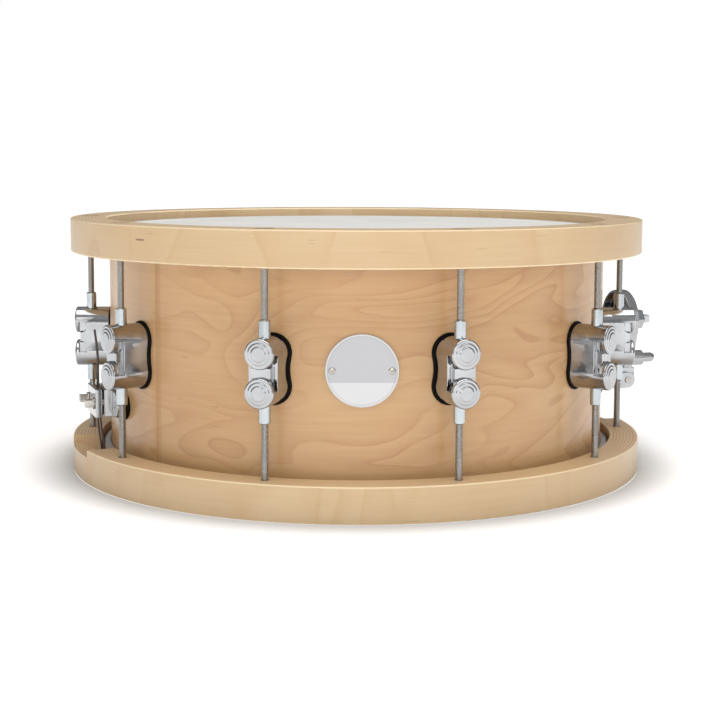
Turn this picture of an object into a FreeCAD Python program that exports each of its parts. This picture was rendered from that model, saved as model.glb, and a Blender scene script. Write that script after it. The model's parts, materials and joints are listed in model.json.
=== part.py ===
import FreeCAD, Part
import math
import os
from types import SimpleNamespace

import Sketcher

# A 14 x 6.5 inch snare drum with thick wood hoops, as separate pieces in millimetres.
#
# Frame: +Z is up, and the origin is on the drum's axis, on the surface that the lower hoop stands on.
# The badge faces -Y. Angles round the drum are measured from -Y towards +X. A piece that sits on the
# shell is drawn at angle 0, where outwards is -Y, and its Placement turns it to its own angle.
# The two ends of the drum are alike, so a piece of the upper end is the lower end's piece turned over.

DIMENSIONS = {
    # shell and hoops
    "shell_radius": 177.8,
    "shell_depth": 165.1,
    "shell_wall": 7.0,
    "bearing_crown": 1.5,
    "head_recess": 6.55,
    "hoop_radius": 204.6,
    "hoop_depth": 23.5,
    "hoop_round": 1.0,
    "rabbet_radius": 184.8,
    "lip_radius": 179.5,
    "lip_depth": 9.5,
    "gate_angle": 16.6,
    "gate_inner_radius": 189.0,
    "gate_inner_floor": 14.0,
    "gate_outer_floor": 18.8,
    # heads
    "film": 0.25,
    "collar": 11.0,
    "flesh_radius": 182.9,
    "flesh_depth": 9.5,
    # lugs, rods and their fittings
    "lug_count": 10,
    "rod_circle": 193.07,
    "rod_radius": 2.4,
    "rod_hole": 2.9,
    "rod_length": 69.0,
    "rod_gap": 0.2,
    "rod_head": 6.35,
    "rod_head_height": 5.0,
    "rod_collar_radius": 4.9,
    "rod_collar_height": 1.5,
    "counterbore_radius": 6.5,
    "counterbore_depth": 9.0,
    "ferrule_floor": 2.0,
    "ferrule_wall": 0.8,
    "ferrule_lip": 1.0,
    "gasket": 1.5,
    "gasket_flange": 1.4,
    "fitting_rise": 1.4,
    "foot_spacing": 10.4,
    "foot_radius": 11.0,
    "foot_waist": 9.8,
    "foot_draft": 1.46,
    "foot_waist_draft": 0.4,
    "turret_spacing": 12.0,
    "turret_radius": 9.5,
    "casting_reach": 196.0,
    "disc_back": 201.3,
    "disc_rim": 203.2,
    "disc_bevel": 0.7,
    "disc_step_radius": 7.1,
    "disc_boss_radius": 4.9,
    "disc_step": 0.5,
    "neck_half": 5.2,
    "ledge_outer": 11.0,
    "ledge_inner": 2.0,
    "bridge_half": 6.4,
    "bridge_height": 8.2,
    "bridge_reach": 200.6,
    "bridge_waist": 3.2,
    "bridge_scoop": 5.2,
    "nut_radius": 3.65,
    "nut_bore": 2.45,
    "nut_tip": 57.0,
    "nut_length": 23.0,
    "nut_chamfer": 0.6,
    "lug_screw_spacing": 15.0,
    # screws that hold the fittings from inside the shell
    "screw_radius": 2.5,
    "screw_hole": 2.75,
    "screw_head": 4.6,
    "screw_head_height": 3.0,
    "screw_depth": 5.5,
    "washer_radius": 6.5,
    "washer": 0.8,
    # badge and vent
    "badge_radius": 22.7,
    "badge_thickness": 1.2,
    "badge_rim": 0.9,
    "badge_rim_height": 0.3,
    "badge_screw_offset": 18.5,
    "badge_screw_radius": 1.2,
    "badge_screw_head": 2.3,
    "badge_screw_length": 5.0,
    "badge_screw_head_height": 0.7,
    "vent_radius": 6.0,
    "grommet_bore": 4.8,
    "grommet_flange": 9.5,
    "grommet_height": 1.6,
    # strainer, the lever side of the snare mechanism
    "strainer_half": 16.0,
    "strainer_low": 46.0,
    "strainer_high": 106.0,
    "strainer_plate": 3.7,
    "rail_inner": 12.0,
    "rail_reach": 199.0,
    "slider_gap": 0.4,
    "slider_low": 60.0,
    "slider_high": 98.0,
    "slider_reach": 200.0,
    "slider_screw_height": 71.0,
    "relief_below": 16.0,
    "relief_above": 14.0,
    "pivot_reach": 218.0,
    "pivot_height": 50.0,
    "pivot_radius": 2.0,
    "pivot_clearance": 0.06,
    "ear_inner": 12.7,
    "ear_thickness": 2.5,
    "ear_radius": 6.0,
    "ear_high": 62.0,
    "cheek_outer": 12.2,
    "cheek_thickness": 2.5,
    "cheek_radius": 5.4,
    "cheek_high": 78.0,
    "cheek_back": 213.0,
    "crank": 6.2,
    "crank_angle": 40.0,
    "crank_pin_radius": 1.5,
    "fork_half": 4.0,
    "fork_slot_half": 1.9,
    "fork_half_height": 4.0,
    "fork_reach": 225.4,
    "lever_head_radius": 23.3,
    "lever_head_height": 95.7,
    "lever_foot": 59.6,
    "lever_foot_half": 14.0,
    "lever_front": 222.0,
    "lever_depth": 7.5,
    "lever_wall": 2.0,
    "knob_gap": 0.35,
    "tension_knob_flats": 14.2,
    "tension_knob_length": 13.6,
    "tension_knob_hub": 5.4,
    "tension_hub_length": 5.2,
    "tension_key_side": 6.0,
    "tension_key_length": 7.0,
    "limit_knob_height": 65.0,
    "limit_knob_radius": 6.0,
    "limit_knob_length": 15.0,
    "limit_tip_radius": 3.7,
    "limit_tip_length": 8.0,
    "knob_shaft_radius": 3.0,
    "knob_shaft_clearance": 0.05,
    "knob_clip": 1.5,
    "knob_clip_radius": 5.0,
    # the clamp plates that hold the snare cords
    "clamp_gap": 1.5,
    "clamp_plate": 3.2,
    "slider_clamp_half": 11.0,
    "slider_clamp_low": 63.0,
    "slider_clamp_high": 79.0,
    "slider_screw_offset": 4.2,
    # butt plate, the fixed side of the snare mechanism
    "butt_height": 52.6,
    "butt_half": 35.5,
    "butt_half_height": 8.2,
    "butt_plate": 3.2,
    "butt_block_half": 15.0,
    "butt_block_half_height": 9.5,
    "butt_block_reach": 188.0,
    "butt_clamp_half": 17.2,
    "butt_clamp_low": 42.8,
    "butt_clamp_high": 62.6,
    "butt_clamp_plate": 4.6,
    "butt_screw_offset": 12.0,
    "butt_screw_height": 52.6,
    "butt_mount_offset": 26.0,
    "key_screw_radius": 2.5,
    "key_screw_collar": 4.0,
    "key_screw_collar_height": 1.4,
    "key_screw_square": 5.0,
    "key_screw_length": 6.5,
    "strainer_mount_low": 56.0,
    "strainer_mount_high": 96.0,
    # snare wires and cords
    "strand_count": 20,
    "strand_pitch": 2.1,
    "strand_radius": 0.75,
    "strand_height": 5.2,
    "strand_half_length": 152.0,
    "end_plate_half": 22.0,
    "end_plate_start": 150.0,
    "end_plate_end": 168.0,
    "end_plate": 0.7,
    "cord_radius": 0.75,
    "cord_half_gap": 8.0,
    "butt_cord_half_gap": 6.5,
    "cord_gate_reach": 186.6,
    "cord_height": 3.0,
    "cord_corner": 5.0,
    "cord_grip": 8.0,
    "strainer_cord_lead": 19.0,
    "strainer_cord_bend": 25.5,
    "strainer_cord_bow": 3.5,
    "butt_cord_lead": 4.5,
    "butt_cord_drop": 8.5,
    "butt_cord_gate_drop": 3.0,
    "butt_cord_gate_lean": 0.5,
    "cord_tail": 101.0,
    "cord_tail_bend": 84.0,
    "cord_tail_lean": 1.4,
    "cord_tail_half_gap": 1.0,
    "cord_tail_side": -7.5,
    "cord_bend_side": -1.5,
    "cord_exit_side": -6.0,
    "cord_exit_half_gap": 2.2,
}

doc = FreeCAD.newDocument("snare_drum")
sheet = doc.addObject("Spreadsheet::Sheet", "dims")
for row, (alias, number) in enumerate(DIMENSIONS.items(), start=1):
    sheet.set(f"A{row}", alias)
    sheet.set(f"B{row}", str(number))
    sheet.setAlias(f"B{row}", alias)
doc.recompute()


class Size:
    """A length that knows its number and the expression on the sheet that gives it."""

    def __init__(self, text, number):
        self.text = text
        self.number = number

    def join(self, sign, other, number):
        return Size(f"({self.text} {sign} {as_size(other).text})", number)

    def __add__(self, other):
        return self.join("+", other, self.number + as_size(other).number)

    def __sub__(self, other):
        return self.join("-", other, self.number - as_size(other).number)

    def __rsub__(self, other):
        return as_size(other) - self

    def __mul__(self, other):
        return self.join("*", other, self.number * as_size(other).number)

    def __truediv__(self, other):
        return self.join("/", other, self.number / as_size(other).number)

    def __neg__(self):
        return Size(f"(0 - {self.text})", -self.number)


def as_size(value):
    return value if isinstance(value, Size) else Size(str(value), float(value))


def root(size):
    return Size(f"sqrt({size.text})", math.sqrt(size.number))


d = SimpleNamespace(**{name: Size(f"dims.{name}", number) for name, number in DIMENSIONS.items()})

UP = FreeCAD.Vector(0, 0, 1)
ACROSS = FreeCAD.Vector(1, 0, 0)
ALONG = FreeCAD.Vector(0, 1, 0)
# The way that a primitive's own axis is turned: up, outwards (-Y at angle 0), or sideways (+X).
TURNS = {
    "up": FreeCAD.Rotation(),
    "out": FreeCAD.Rotation(ACROSS, 90),
    "side": FreeCAD.Rotation(ALONG, 90),
}

drum_height = d.shell_depth + d.head_recess * 2
# the height of the lugs, badge and vent, a little above the drum's own middle
middle = drum_height / 2 + d.fitting_rise
gasket_face = d.shell_radius + d.gasket
LUG_PITCH = 360 / DIMENSIONS["lug_count"]
LUG_ANGLES = [LUG_PITCH * (k + 0.5) for k in range(DIMENSIONS["lug_count"])]
STRAINER_ANGLE = 108
BUTT_ANGLE = STRAINER_ANGLE - 180
VENT_ANGLE = 180

nodes = []


# ---------------------------------------------------------------- building blocks


def place(item, at, turn="up"):
    """Puts an object at a point of the sheet's sizes, turned one of the three ways."""
    x, y, z = (as_size(value) for value in at)
    item.Placement = FreeCAD.Placement(FreeCAD.Vector(x.number, y.number, z.number), TURNS[turn])
    for letter, size in zip("xyz", (x, y, z)):
        item.setExpression(f"Placement.Base.{letter}", size.text)


def primitive(kind, name, at, turn, **sizes):
    item = doc.addObject(f"Part::{kind}", name)
    for key, size in sizes.items():
        item.setExpression(key, as_size(size).text)
    place(item, at, turn)
    return item


def cylinder(name, radius, length, at, turn="up"):
    return primitive("Cylinder", name, at, turn, Radius=radius, Height=length)


def cone(name, radius, tip_radius, length, at, turn="up"):
    return primitive("Cone", name, at, turn, Radius1=radius, Radius2=tip_radius, Height=length)


def box(name, x, y, z):
    """A box between the given pairs of sizes along each axis."""
    low, high = zip(*((as_size(a), as_size(b)) for a, b in (x, y, z)))
    length, width, height = (b - a for a, b in zip(low, high))
    return primitive("Box", name, low, "up", Length=length, Width=width, Height=height)


def radial_box(name, half_width, reach, z):
    """A box centred on the outward line, between two distances from the drum's axis."""
    near, far = reach
    return box(name, (-as_size(half_width), half_width), (-as_size(far), -as_size(near)), z)


def fuse(name, *items):
    joined = doc.addObject("Part::MultiFuse", name)
    joined.Shapes = list(items)
    return joined


def cut(name, base, *tools):
    result = doc.addObject("Part::Cut", name)
    result.Base = base
    result.Tool = tools[0] if len(tools) == 1 else fuse(f"{name}_cuts", *tools)
    return result


def group(name, items):
    """Separate solids that are one item of the parts list."""
    result = doc.addObject("Part::Compound", name)
    result.Links = list(items)
    return result


def copy_at(name, master, angle, turned_over=False):
    """The same piece again, at its own angle round the drum, or at the drum's other end."""
    result = group(name, [master])
    placement = FreeCAD.Placement(FreeCAD.Vector(), FreeCAD.Rotation(UP, angle))
    if turned_over:
        top = FreeCAD.Vector(0, 0, drum_height.number)
        placement = placement * FreeCAD.Placement(top, FreeCAD.Rotation(ALONG, 180))
    result.Placement = placement
    return result


def node(item, label):
    """Makes an object a sub-part under its own name."""
    item.Label = label
    nodes.append(item)
    return item


def new_body(name):
    return doc.addObject("PartDesign::Body", name)


def new_sketch(body, name, role, offset=0):
    """A sketch on one of its body's own origin planes, moved along the plane's normal."""
    sketch = body.newObject("Sketcher::SketchObject", name)
    plane = next(item for item in body.Origin.OriginFeatures if item.Role == role)
    sketch.AttachmentSupport = [(plane, "")]
    sketch.MapMode = "FlatFace"
    sketch.AttachmentOffset = FreeCAD.Placement(
        FreeCAD.Vector(0, 0, as_size(offset).number), FreeCAD.Rotation()
    )
    sketch.setExpression("AttachmentOffset.Base.z", as_size(offset).text)
    return sketch


def hold(sketch, geometry, point, across, up):
    """Ties one point of a sketch to the sheet in both directions."""
    for kind, axis, size in (("DistanceX", -2, as_size(across)), ("DistanceY", -1, as_size(up))):
        if size.number == 0:
            sketch.addConstraint(Sketcher.Constraint("PointOnObject", geometry, point, axis))
        else:
            index = sketch.addConstraint(Sketcher.Constraint(kind, -1, 1, geometry, point, size.number))
            sketch.setExpression(f"Constraints[{index}]", size.text)


def polygon(sketch, corners):
    """A closed outline of straight edges, each corner held to the sheet."""
    points = [(as_size(across), as_size(up)) for across, up in corners]
    vectors = [FreeCAD.Vector(across.number, up.number, 0) for across, up in points]
    count = len(points)
    for k in range(count):
        sketch.addGeometry(Part.LineSegment(vectors[k], vectors[(k + 1) % count]), False)
    for k in range(count):
        sketch.addConstraint(Sketcher.Constraint("Coincident", k, 2, (k + 1) % count, 1))
    for k, (across, up) in enumerate(points):
        hold(sketch, k, 1, across, up)


def circle(sketch, radius, across, up):
    size = as_size(radius)
    centre = FreeCAD.Vector(as_size(across).number, as_size(up).number, 0)
    index = sketch.addGeometry(Part.Circle(centre, UP, size.number), False)
    hold(sketch, index, 3, across, up)
    held = sketch.addConstraint(Sketcher.Constraint("Radius", index, size.number))
    sketch.setExpression(f"Constraints[{held}]", size.text)


def peanut(sketch, spacing, radius, waist, height):
    """Two equal round ends, joined on each side by a hollow arc that is tangent to both.

    The ends are held in place. The hollows have their radius, and their tangent joints place them.
    """
    hollow = (spacing * spacing + waist * waist - radius * radius) / ((radius - waist) * 2)
    reach, low, high = waist + hollow, height - spacing, height + spacing
    # the angle at an end's centre, from the sideways direction to where the hollow begins
    lean = math.atan2(spacing.number, reach.number)
    turn = 2 * math.pi

    def arc(across, up, size, start, end, held_centre):
        centre = FreeCAD.Vector(as_size(across).number, up.number, 0)
        ring = Part.Circle(centre, UP, size.number)
        index = sketch.addGeometry(Part.ArcOfCircle(ring, start, end), False)
        if held_centre:
            hold(sketch, index, 3, across, up)
        held = sketch.addConstraint(Sketcher.Constraint("Radius", index, size.number))
        sketch.setExpression(f"Constraints[{held}]", size.text)
        return index

    upper = arc(0, high, radius, -lean, math.pi + lean, True)
    left = arc(-reach, height, hollow, -lean, lean, False)
    lower = arc(0, low, radius, math.pi - lean, turn + lean, True)
    right = arc(reach, height, hollow, math.pi - lean, math.pi + lean, False)
    joints = ((upper, 2, left, 2), (left, 1, lower, 1), (lower, 2, right, 2), (right, 1, upper, 1))
    for a, a_end, b, b_end in joints:
        sketch.addConstraint(Sketcher.Constraint("Tangent", a, a_end, b, b_end))


def pad(body, sketch, length):
    feature = body.newObject("PartDesign::Pad", f"{sketch.Name}_pad")
    feature.Profile = sketch
    feature.setExpression("Length", as_size(length).text)
    return feature


def turned_body(name, corners):
    """A body of revolution about the drum's axis, from an outline of radius and height."""
    body = new_body(name)
    sketch = new_sketch(body, f"{name}_profile", "XZ_Plane")
    polygon(sketch, corners)
    feature = body.newObject("PartDesign::Revolution", f"{name}_revolution")
    feature.Profile = sketch
    feature.ReferenceAxis = (sketch, ["V_Axis"])
    feature.Angle = 360
    return body


def on_shell(name, item):
    """Hollows the back of a flat piece so that it lies against the round shell."""
    shell = cylinder(f"{name}_shell", d.shell_radius, drum_height, (0, 0, 0))
    return cut(name, item, shell)


def oval(name, half_width, half_height, reach, height):
    """A plate with round ends, lying sideways on the outward line."""
    near, far = reach
    straight = half_width - half_height
    z = (height - half_height, height + half_height)
    parts = [radial_box(f"{name}_middle", straight, reach, z)]
    for side, x in (("left", -straight), ("right", straight)):
        at = (x, -near, height)
        parts.append(cylinder(f"{name}_{side}", half_height, far - near, at, "out"))
    return fuse(name, *parts)


# ---------------------------------------------------------------- shell, hoops and heads


def shell_screw_points():
    """Where screws pass through the shell: the angle, the sideways offset and the height."""
    points = []
    for angle in LUG_ANGLES:
        points.append((angle, as_size(0), middle - d.lug_screw_spacing))
        points.append((angle, as_size(0), middle + d.lug_screw_spacing))
    for height in (d.strainer_mount_low, d.strainer_mount_high):
        points.append((STRAINER_ANGLE, as_size(0), height))
    for offset in (-d.butt_mount_offset, d.butt_mount_offset):
        points.append((BUTT_ANGLE, offset, d.butt_height))
    return points


def make_shell():
    r, inner, low, crown = d.shell_radius, d.shell_radius - d.shell_wall, d.head_recess, d.bearing_crown
    high = low + d.shell_depth
    slope = d.shell_wall - crown
    corners = [(inner, low + slope), (r - crown, low), (r, low + crown), (r, high - crown)]
    corners += [(r - crown, high), (inner, high - slope)]
    blank = turned_body("shell_blank", corners)
    through = d.shell_wall * 3
    holes = []
    for k, (angle, offset, height) in enumerate(shell_screw_points()):
        at = (offset, -(inner - d.shell_wall), height)
        hole = cylinder(f"screw_hole_{k}", d.screw_hole, through, at, "out")
        holes.append(copy_at(f"screw_hole_{k}_placed", hole, angle))
    vent = cylinder("vent_hole", d.vent_radius, through, (0, -(inner - d.shell_wall), middle), "out")
    holes.append(copy_at("vent_hole_placed", vent, VENT_ANGLE))
    for k, x in enumerate((-d.badge_screw_offset, d.badge_screw_offset)):
        at = (x, -(r - d.badge_screw_length), middle)
        holes.append(cylinder(f"badge_pilot_{k}", d.badge_screw_radius, through, at, "out"))
    tools = group("shell_holes", holes)
    node(cut("shell", blank, tools), "shell")


def make_hoop(name, gated):
    """A laminated hoop, outer face down: a lip over the head, and a rabbet that the head sits in."""
    body = turned_body(
        name,
        [
            (d.lip_radius, 0),
            (d.hoop_radius, 0),
            (d.hoop_radius, d.hoop_depth),
            (d.rabbet_radius, d.hoop_depth),
            (d.rabbet_radius, d.lip_depth),
            (d.lip_radius, d.lip_depth),
        ],
    )
    doc.recompute()
    revolved = body.Tip
    rounded = [
        f"Edge{k + 1}"
        for k, edge in enumerate(revolved.Shape.Edges)
        if hasattr(edge.Curve, "Radius")
        and (
            abs(edge.Curve.Radius - d.hoop_radius.number) < 0.01
            or (edge.CenterOfMass.z < 0.01 and abs(edge.Curve.Radius - d.lip_radius.number) < 0.01)
        )
    ]
    fillet = body.newObject("PartDesign::Fillet", f"{name}_fillet")
    fillet.Base = (revolved, rounded)
    fillet.setExpression("Radius", d.hoop_round.text)
    doc.recompute()
    for suffix, radius, depth in (
        ("rod", d.rod_hole, d.hoop_depth),
        ("counterbore", d.counterbore_radius, d.counterbore_depth),
    ):
        sketch = new_sketch(body, f"{name}_{suffix}_circle", "XY_Plane")
        circle(sketch, radius, 0, -d.rod_circle)
        pocket = body.newObject("PartDesign::Pocket", f"{name}_{suffix}_hole")
        pocket.Profile = sketch
        pocket.setExpression("Length", depth.text)
        pocket.Reversed = True
        pattern = body.newObject("PartDesign::PolarPattern", f"{name}_{suffix}_holes")
        pattern.Originals = [pocket]
        pattern.Axis = (sketch, ["N_Axis"])
        pattern.Angle = 360
        pattern.setExpression("Occurrences", d.lug_count.text)
        body.Tip = pattern
        doc.recompute()
    if gated:
        cut_gates(body, name)
    body.Placement = FreeCAD.Placement(FreeCAD.Vector(), FreeCAD.Rotation(UP, LUG_PITCH / 2))
    return body


def cut_gates(body, name):
    """Two openings in the hoop where the snare cords pass in, a quarter turn from its first rod hole."""
    clear = d.hoop_round
    sketch = new_sketch(body, f"{name}_gate_profile", "XZ_Plane")
    polygon(
        sketch,
        [
            (d.lip_radius - clear, -clear),
            (d.gate_inner_radius, -clear),
            (d.gate_inner_radius, d.gate_inner_floor),
            (d.hoop_radius + clear, d.gate_outer_floor),
            (d.hoop_radius + clear, d.hoop_depth + clear),
            (d.lip_radius - clear, d.hoop_depth + clear),
        ],
    )
    groove = body.newObject("PartDesign::Groove", f"{name}_gate")
    groove.Profile = sketch
    groove.ReferenceAxis = (sketch, ["V_Axis"])
    groove.setExpression("Angle", d.gate_angle.text)
    groove.Midplane = True
    pattern = body.newObject("PartDesign::PolarPattern", f"{name}_gates")
    pattern.Originals = [groove]
    pattern.Axis = (sketch, ["V_Axis"])
    pattern.Angle = 360
    pattern.Occurrences = 2
    body.Tip = pattern
    doc.recompute()


def make_hoops():
    node(make_hoop("snare_side_hoop", gated=True), "snare_side_hoop")
    upper = make_hoop("upper_hoop", gated=False)
    node(copy_at("batter_hoop", upper, 0, turned_over=True), "batter_hoop")


def make_heads():
    """A head is a film pressed into a metal hoop. The film bends over the shell's edge."""
    r, low, crown, film = d.shell_radius, d.head_recess, d.bearing_crown, d.film
    film_corners = [
        (0, low - film),
        (r - crown, low - film),
        (r + film, low + crown - film),
        (r + film, low + d.collar),
        (r, low + d.collar),
        (r, low + crown),
        (r - crown, low),
        (0, low),
    ]
    hoop_low, hoop_high = d.lip_depth, d.lip_depth + d.flesh_depth
    bevel = d.film * 3
    hoop_corners = [
        (r + film, hoop_low + bevel),
        (r + film + bevel, hoop_low),
        (d.flesh_radius - bevel, hoop_low),
        (d.flesh_radius, hoop_low + bevel),
        (d.flesh_radius, hoop_high - bevel),
        (d.flesh_radius - bevel, hoop_high),
        (r + film + bevel, hoop_high),
        (r + film, hoop_high - bevel),
    ]
    for piece, corners in (("head_film", film_corners), ("flesh_hoop", hoop_corners)):
        node(turned_body(f"snare_{piece}", corners), f"snare_{piece}")
        upper = turned_body(f"upper_{piece}", corners)
        node(copy_at(f"batter_{piece}", upper, 0, turned_over=True), f"batter_{piece}")


# ---------------------------------------------------------------- lugs and tension rods


def make_rod():
    """A drum-key tension rod, head down: square head, collar and threaded shaft."""
    y = -d.rod_circle
    collar_top = d.counterbore_depth - d.ferrule_floor - d.rod_gap
    collar_low = collar_top - d.rod_collar_height
    side = d.rod_head / 2
    head = box(
        "rod_head",
        (-side, side),
        (y - side, y + side),
        (collar_low - d.rod_head_height, collar_low),
    )
    collar = cylinder("rod_collar", d.rod_collar_radius, d.rod_collar_height, (0, y, collar_low))
    shaft = cylinder("rod_shaft", d.rod_radius, d.rod_length, (0, y, collar_top))
    return fuse("rod_master", head, collar, shaft)


def make_ferrule():
    """The metal cup that lines a counterbore and carries the rod's collar."""
    y = -d.rod_circle
    height = d.counterbore_depth - d.ferrule_lip
    outside = cylinder("ferrule_outside", d.counterbore_radius, height, (0, y, d.ferrule_lip))
    inside = cylinder(
        "ferrule_inside",
        d.counterbore_radius - d.ferrule_wall,
        height - d.ferrule_floor,
        (0, y, d.ferrule_lip),
    )
    hole = cylinder("ferrule_hole", d.rod_hole, height, (0, y, d.ferrule_lip))
    return cut("ferrule_master", outside, inside, hole)


def nut_tip(end):
    """The outer tip of a nut, measured from the face of the hoop at its own end."""
    return d.nut_tip + d.fitting_rise if end == "snare" else d.nut_tip - d.fitting_rise


def make_nut(end):
    """A long swivel nut, with the rod's running thread as a plain bore."""
    y, chamfer, tip = -d.rod_circle, d.nut_chamfer, nut_tip(end)
    point = cone(f"{end}_nut_point", d.nut_radius - chamfer, d.nut_radius, chamfer, (0, y, tip))
    length = d.nut_length - chamfer
    barrel = cylinder(f"{end}_nut_barrel", d.nut_radius, length, (0, y, tip + chamfer))
    bore = cylinder(f"{end}_nut_bore", d.nut_bore, d.nut_length, (0, y, tip))
    return cut(f"{end}_nut_master", fuse(f"{end}_nut_blank", point, barrel), bore)


def make_casting():
    """The lug: a drafted waisted foot, two round turrets with stepped discs, and a flared bridge."""
    foot_body = new_body("casting_foot")
    sketch = new_sketch(foot_body, "casting_foot_outline", "XZ_Plane", gasket_face)
    peanut(sketch, d.foot_spacing, d.foot_radius, d.foot_waist, middle)
    front = new_sketch(foot_body, "casting_front_outline", "XZ_Plane", d.casting_reach)
    draft = d.foot_draft
    peanut(front, d.foot_spacing, d.foot_radius - draft, d.foot_waist - d.foot_waist_draft, middle)
    loft = foot_body.newObject("PartDesign::AdditiveLoft", "casting_foot_loft")
    loft.Profile = sketch
    loft.Sections = [front]
    loft.Ruled = True
    solids, cuts = [foot_body], []
    for sign, end in ((-1, "snare"), (1, "batter")):
        z = middle + d.turret_spacing * sign
        length = d.disc_back - gasket_face
        solids.append(cylinder(f"turret_{end}", d.turret_radius, length, (0, -gasket_face, z), "out"))
        solids += disc_parts(end, z)
        outer = middle + d.ledge_outer * sign
        inner = middle + d.ledge_inner * sign
        heights = sorted((outer, inner), key=lambda s: s.number)
        for side in (-1, 1):
            x = sorted((d.neck_half * side, d.foot_radius * side), key=lambda s: s.number)
            cuts.append(box(f"ledge_{end}_{side + 1}", x, (-d.disc_back, -d.casting_reach), heights))
        tip = nut_tip(end)
        bore_at = drum_height - tip - d.nut_length if end == "batter" else tip
        cuts.append(cylinder(f"nut_bore_{end}", d.nut_radius, d.nut_length, (0, -d.rod_circle, bore_at)))
        hole_at = (0, -gasket_face, middle + d.lug_screw_spacing * sign)
        cuts.append(cylinder(f"casting_tap_{end}", d.screw_radius, d.screw_depth, hole_at, "out"))
    z = (middle - d.bridge_height, middle + d.bridge_height)
    bridge = radial_box("bridge_block", d.bridge_half, (d.casting_reach - draft, d.bridge_reach), z)
    scoops = []
    for sign, end in ((-1, "snare"), (1, "batter")):
        at = (-d.bridge_half, -d.bridge_reach, middle + (d.bridge_waist + d.bridge_scoop) * sign)
        scoops.append(cylinder(f"bridge_scoop_{end}", d.bridge_scoop, d.bridge_half * 2, at, "side"))
    blank = cut("casting_blank", fuse("casting_solid", *solids), *cuts)
    return fuse("casting_master", blank, cut("bridge", bridge, *scoops))


def disc_parts(end, z):
    """One turret's front disc: a rim with a bevelled edge and two low rounds, each a short cone."""
    at = d.disc_back
    rim = cylinder(f"disc_rim_{end}", d.turret_radius, d.disc_rim - at, (0, -at, z), "out")
    at, steps = d.disc_rim, []
    for name, radius, height in (
        ("bevel", d.turret_radius, d.disc_bevel),
        ("step", d.disc_step_radius, d.disc_step),
        ("boss", d.disc_boss_radius, d.disc_step),
    ):
        steps.append(cone(f"disc_{name}_{end}", radius, radius - height, height, (0, -at, z), "out"))
        at = at + height
    return [rim, *steps]


def make_lug_gasket():
    body = new_body("gasket_pad")
    sketch = new_sketch(body, "gasket_outline", "XZ_Plane", d.shell_radius - d.gasket)
    flange = d.gasket_flange
    peanut(sketch, d.foot_spacing, d.foot_radius + flange, d.foot_waist + flange, middle)
    pad(body, sketch, d.gasket * 2)
    holes = [
        cylinder(
            f"gasket_hole_{sign + 1}",
            d.screw_hole,
            d.gasket * 4,
            (0, -(d.shell_radius - d.gasket), middle + d.lug_screw_spacing * sign),
            "out",
        )
        for sign in (-1, 1)
    ]
    return on_shell("gasket_master", cut("gasket_holed", body, *holes))


def make_lugs():
    rod, ferrule = make_rod(), make_ferrule()
    nut_masters = {end: make_nut(end) for end in ("batter", "snare")}
    casting, gasket = make_casting(), make_lug_gasket()
    nuts, ferrules, gaskets = [], [], []
    for k, angle in enumerate(LUG_ANGLES, start=1):
        tag = f"{k:02d}"
        node(copy_at(f"casting_{tag}", casting, angle), f"lug_casting_{tag}")
        gaskets.append(copy_at(f"gasket_{tag}", gasket, angle))
        for end, turned_over in (("batter", True), ("snare", False)):
            name = f"{end}_rod_{tag}"
            node(copy_at(name, rod, angle, turned_over), f"{end}_tension_rod_{tag}")
            nuts.append(copy_at(f"{end}_nut_{tag}", nut_masters[end], angle, turned_over))
            ferrules.append(copy_at(f"{end}_ferrule_{tag}", ferrule, angle, turned_over))
    node(group("nuts", nuts), "swivel_nuts")
    node(group("ferrules", ferrules), "rod_ferrules")
    node(group("gaskets", gaskets), "lug_gaskets")


def make_mount_screws():
    """Each fitting's screws, with a washer under each head, driven from inside the shell."""
    inner = d.shell_radius - d.shell_wall
    items = []
    for k, (angle, offset, height) in enumerate(shell_screw_points()):
        # the washer's outermost edge touches the round wall
        edge = offset + d.washer_radius if offset.number >= 0 else d.washer_radius - offset
        washer_at = root(inner * inner - edge * edge) - d.washer
        washer = cut(
            f"washer_{k}",
            cylinder(f"washer_disc_{k}", d.washer_radius, d.washer, (offset, -washer_at, height), "out"),
            cylinder(f"washer_hole_{k}", d.screw_hole, d.washer, (offset, -washer_at, height), "out"),
        )
        head_at = washer_at - d.screw_head_height
        screw = fuse(
            f"screw_{k}",
            cylinder(
                f"screw_top_{k}", d.screw_head, d.screw_head_height, (offset, -head_at, height), "out"
            ),
            cylinder(
                f"screw_shaft_{k}",
                d.screw_radius,
                gasket_face + d.screw_depth - 0.2 - washer_at - butt_mount_drop(offset),
                (offset, -washer_at, height),
                "out",
            ),
        )
        items += [copy_at(f"washer_{k}_placed", washer, angle), copy_at(f"screw_{k}_placed", screw, angle)]
    node(group("screws", items), "mount_screws")


def butt_mount_drop(offset):
    """How much shorter a screw is whose fitting is a thin plate."""
    return as_size(0) if offset.number == 0 else d.screw_depth - d.butt_plate


# ---------------------------------------------------------------- badge and vent


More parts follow.
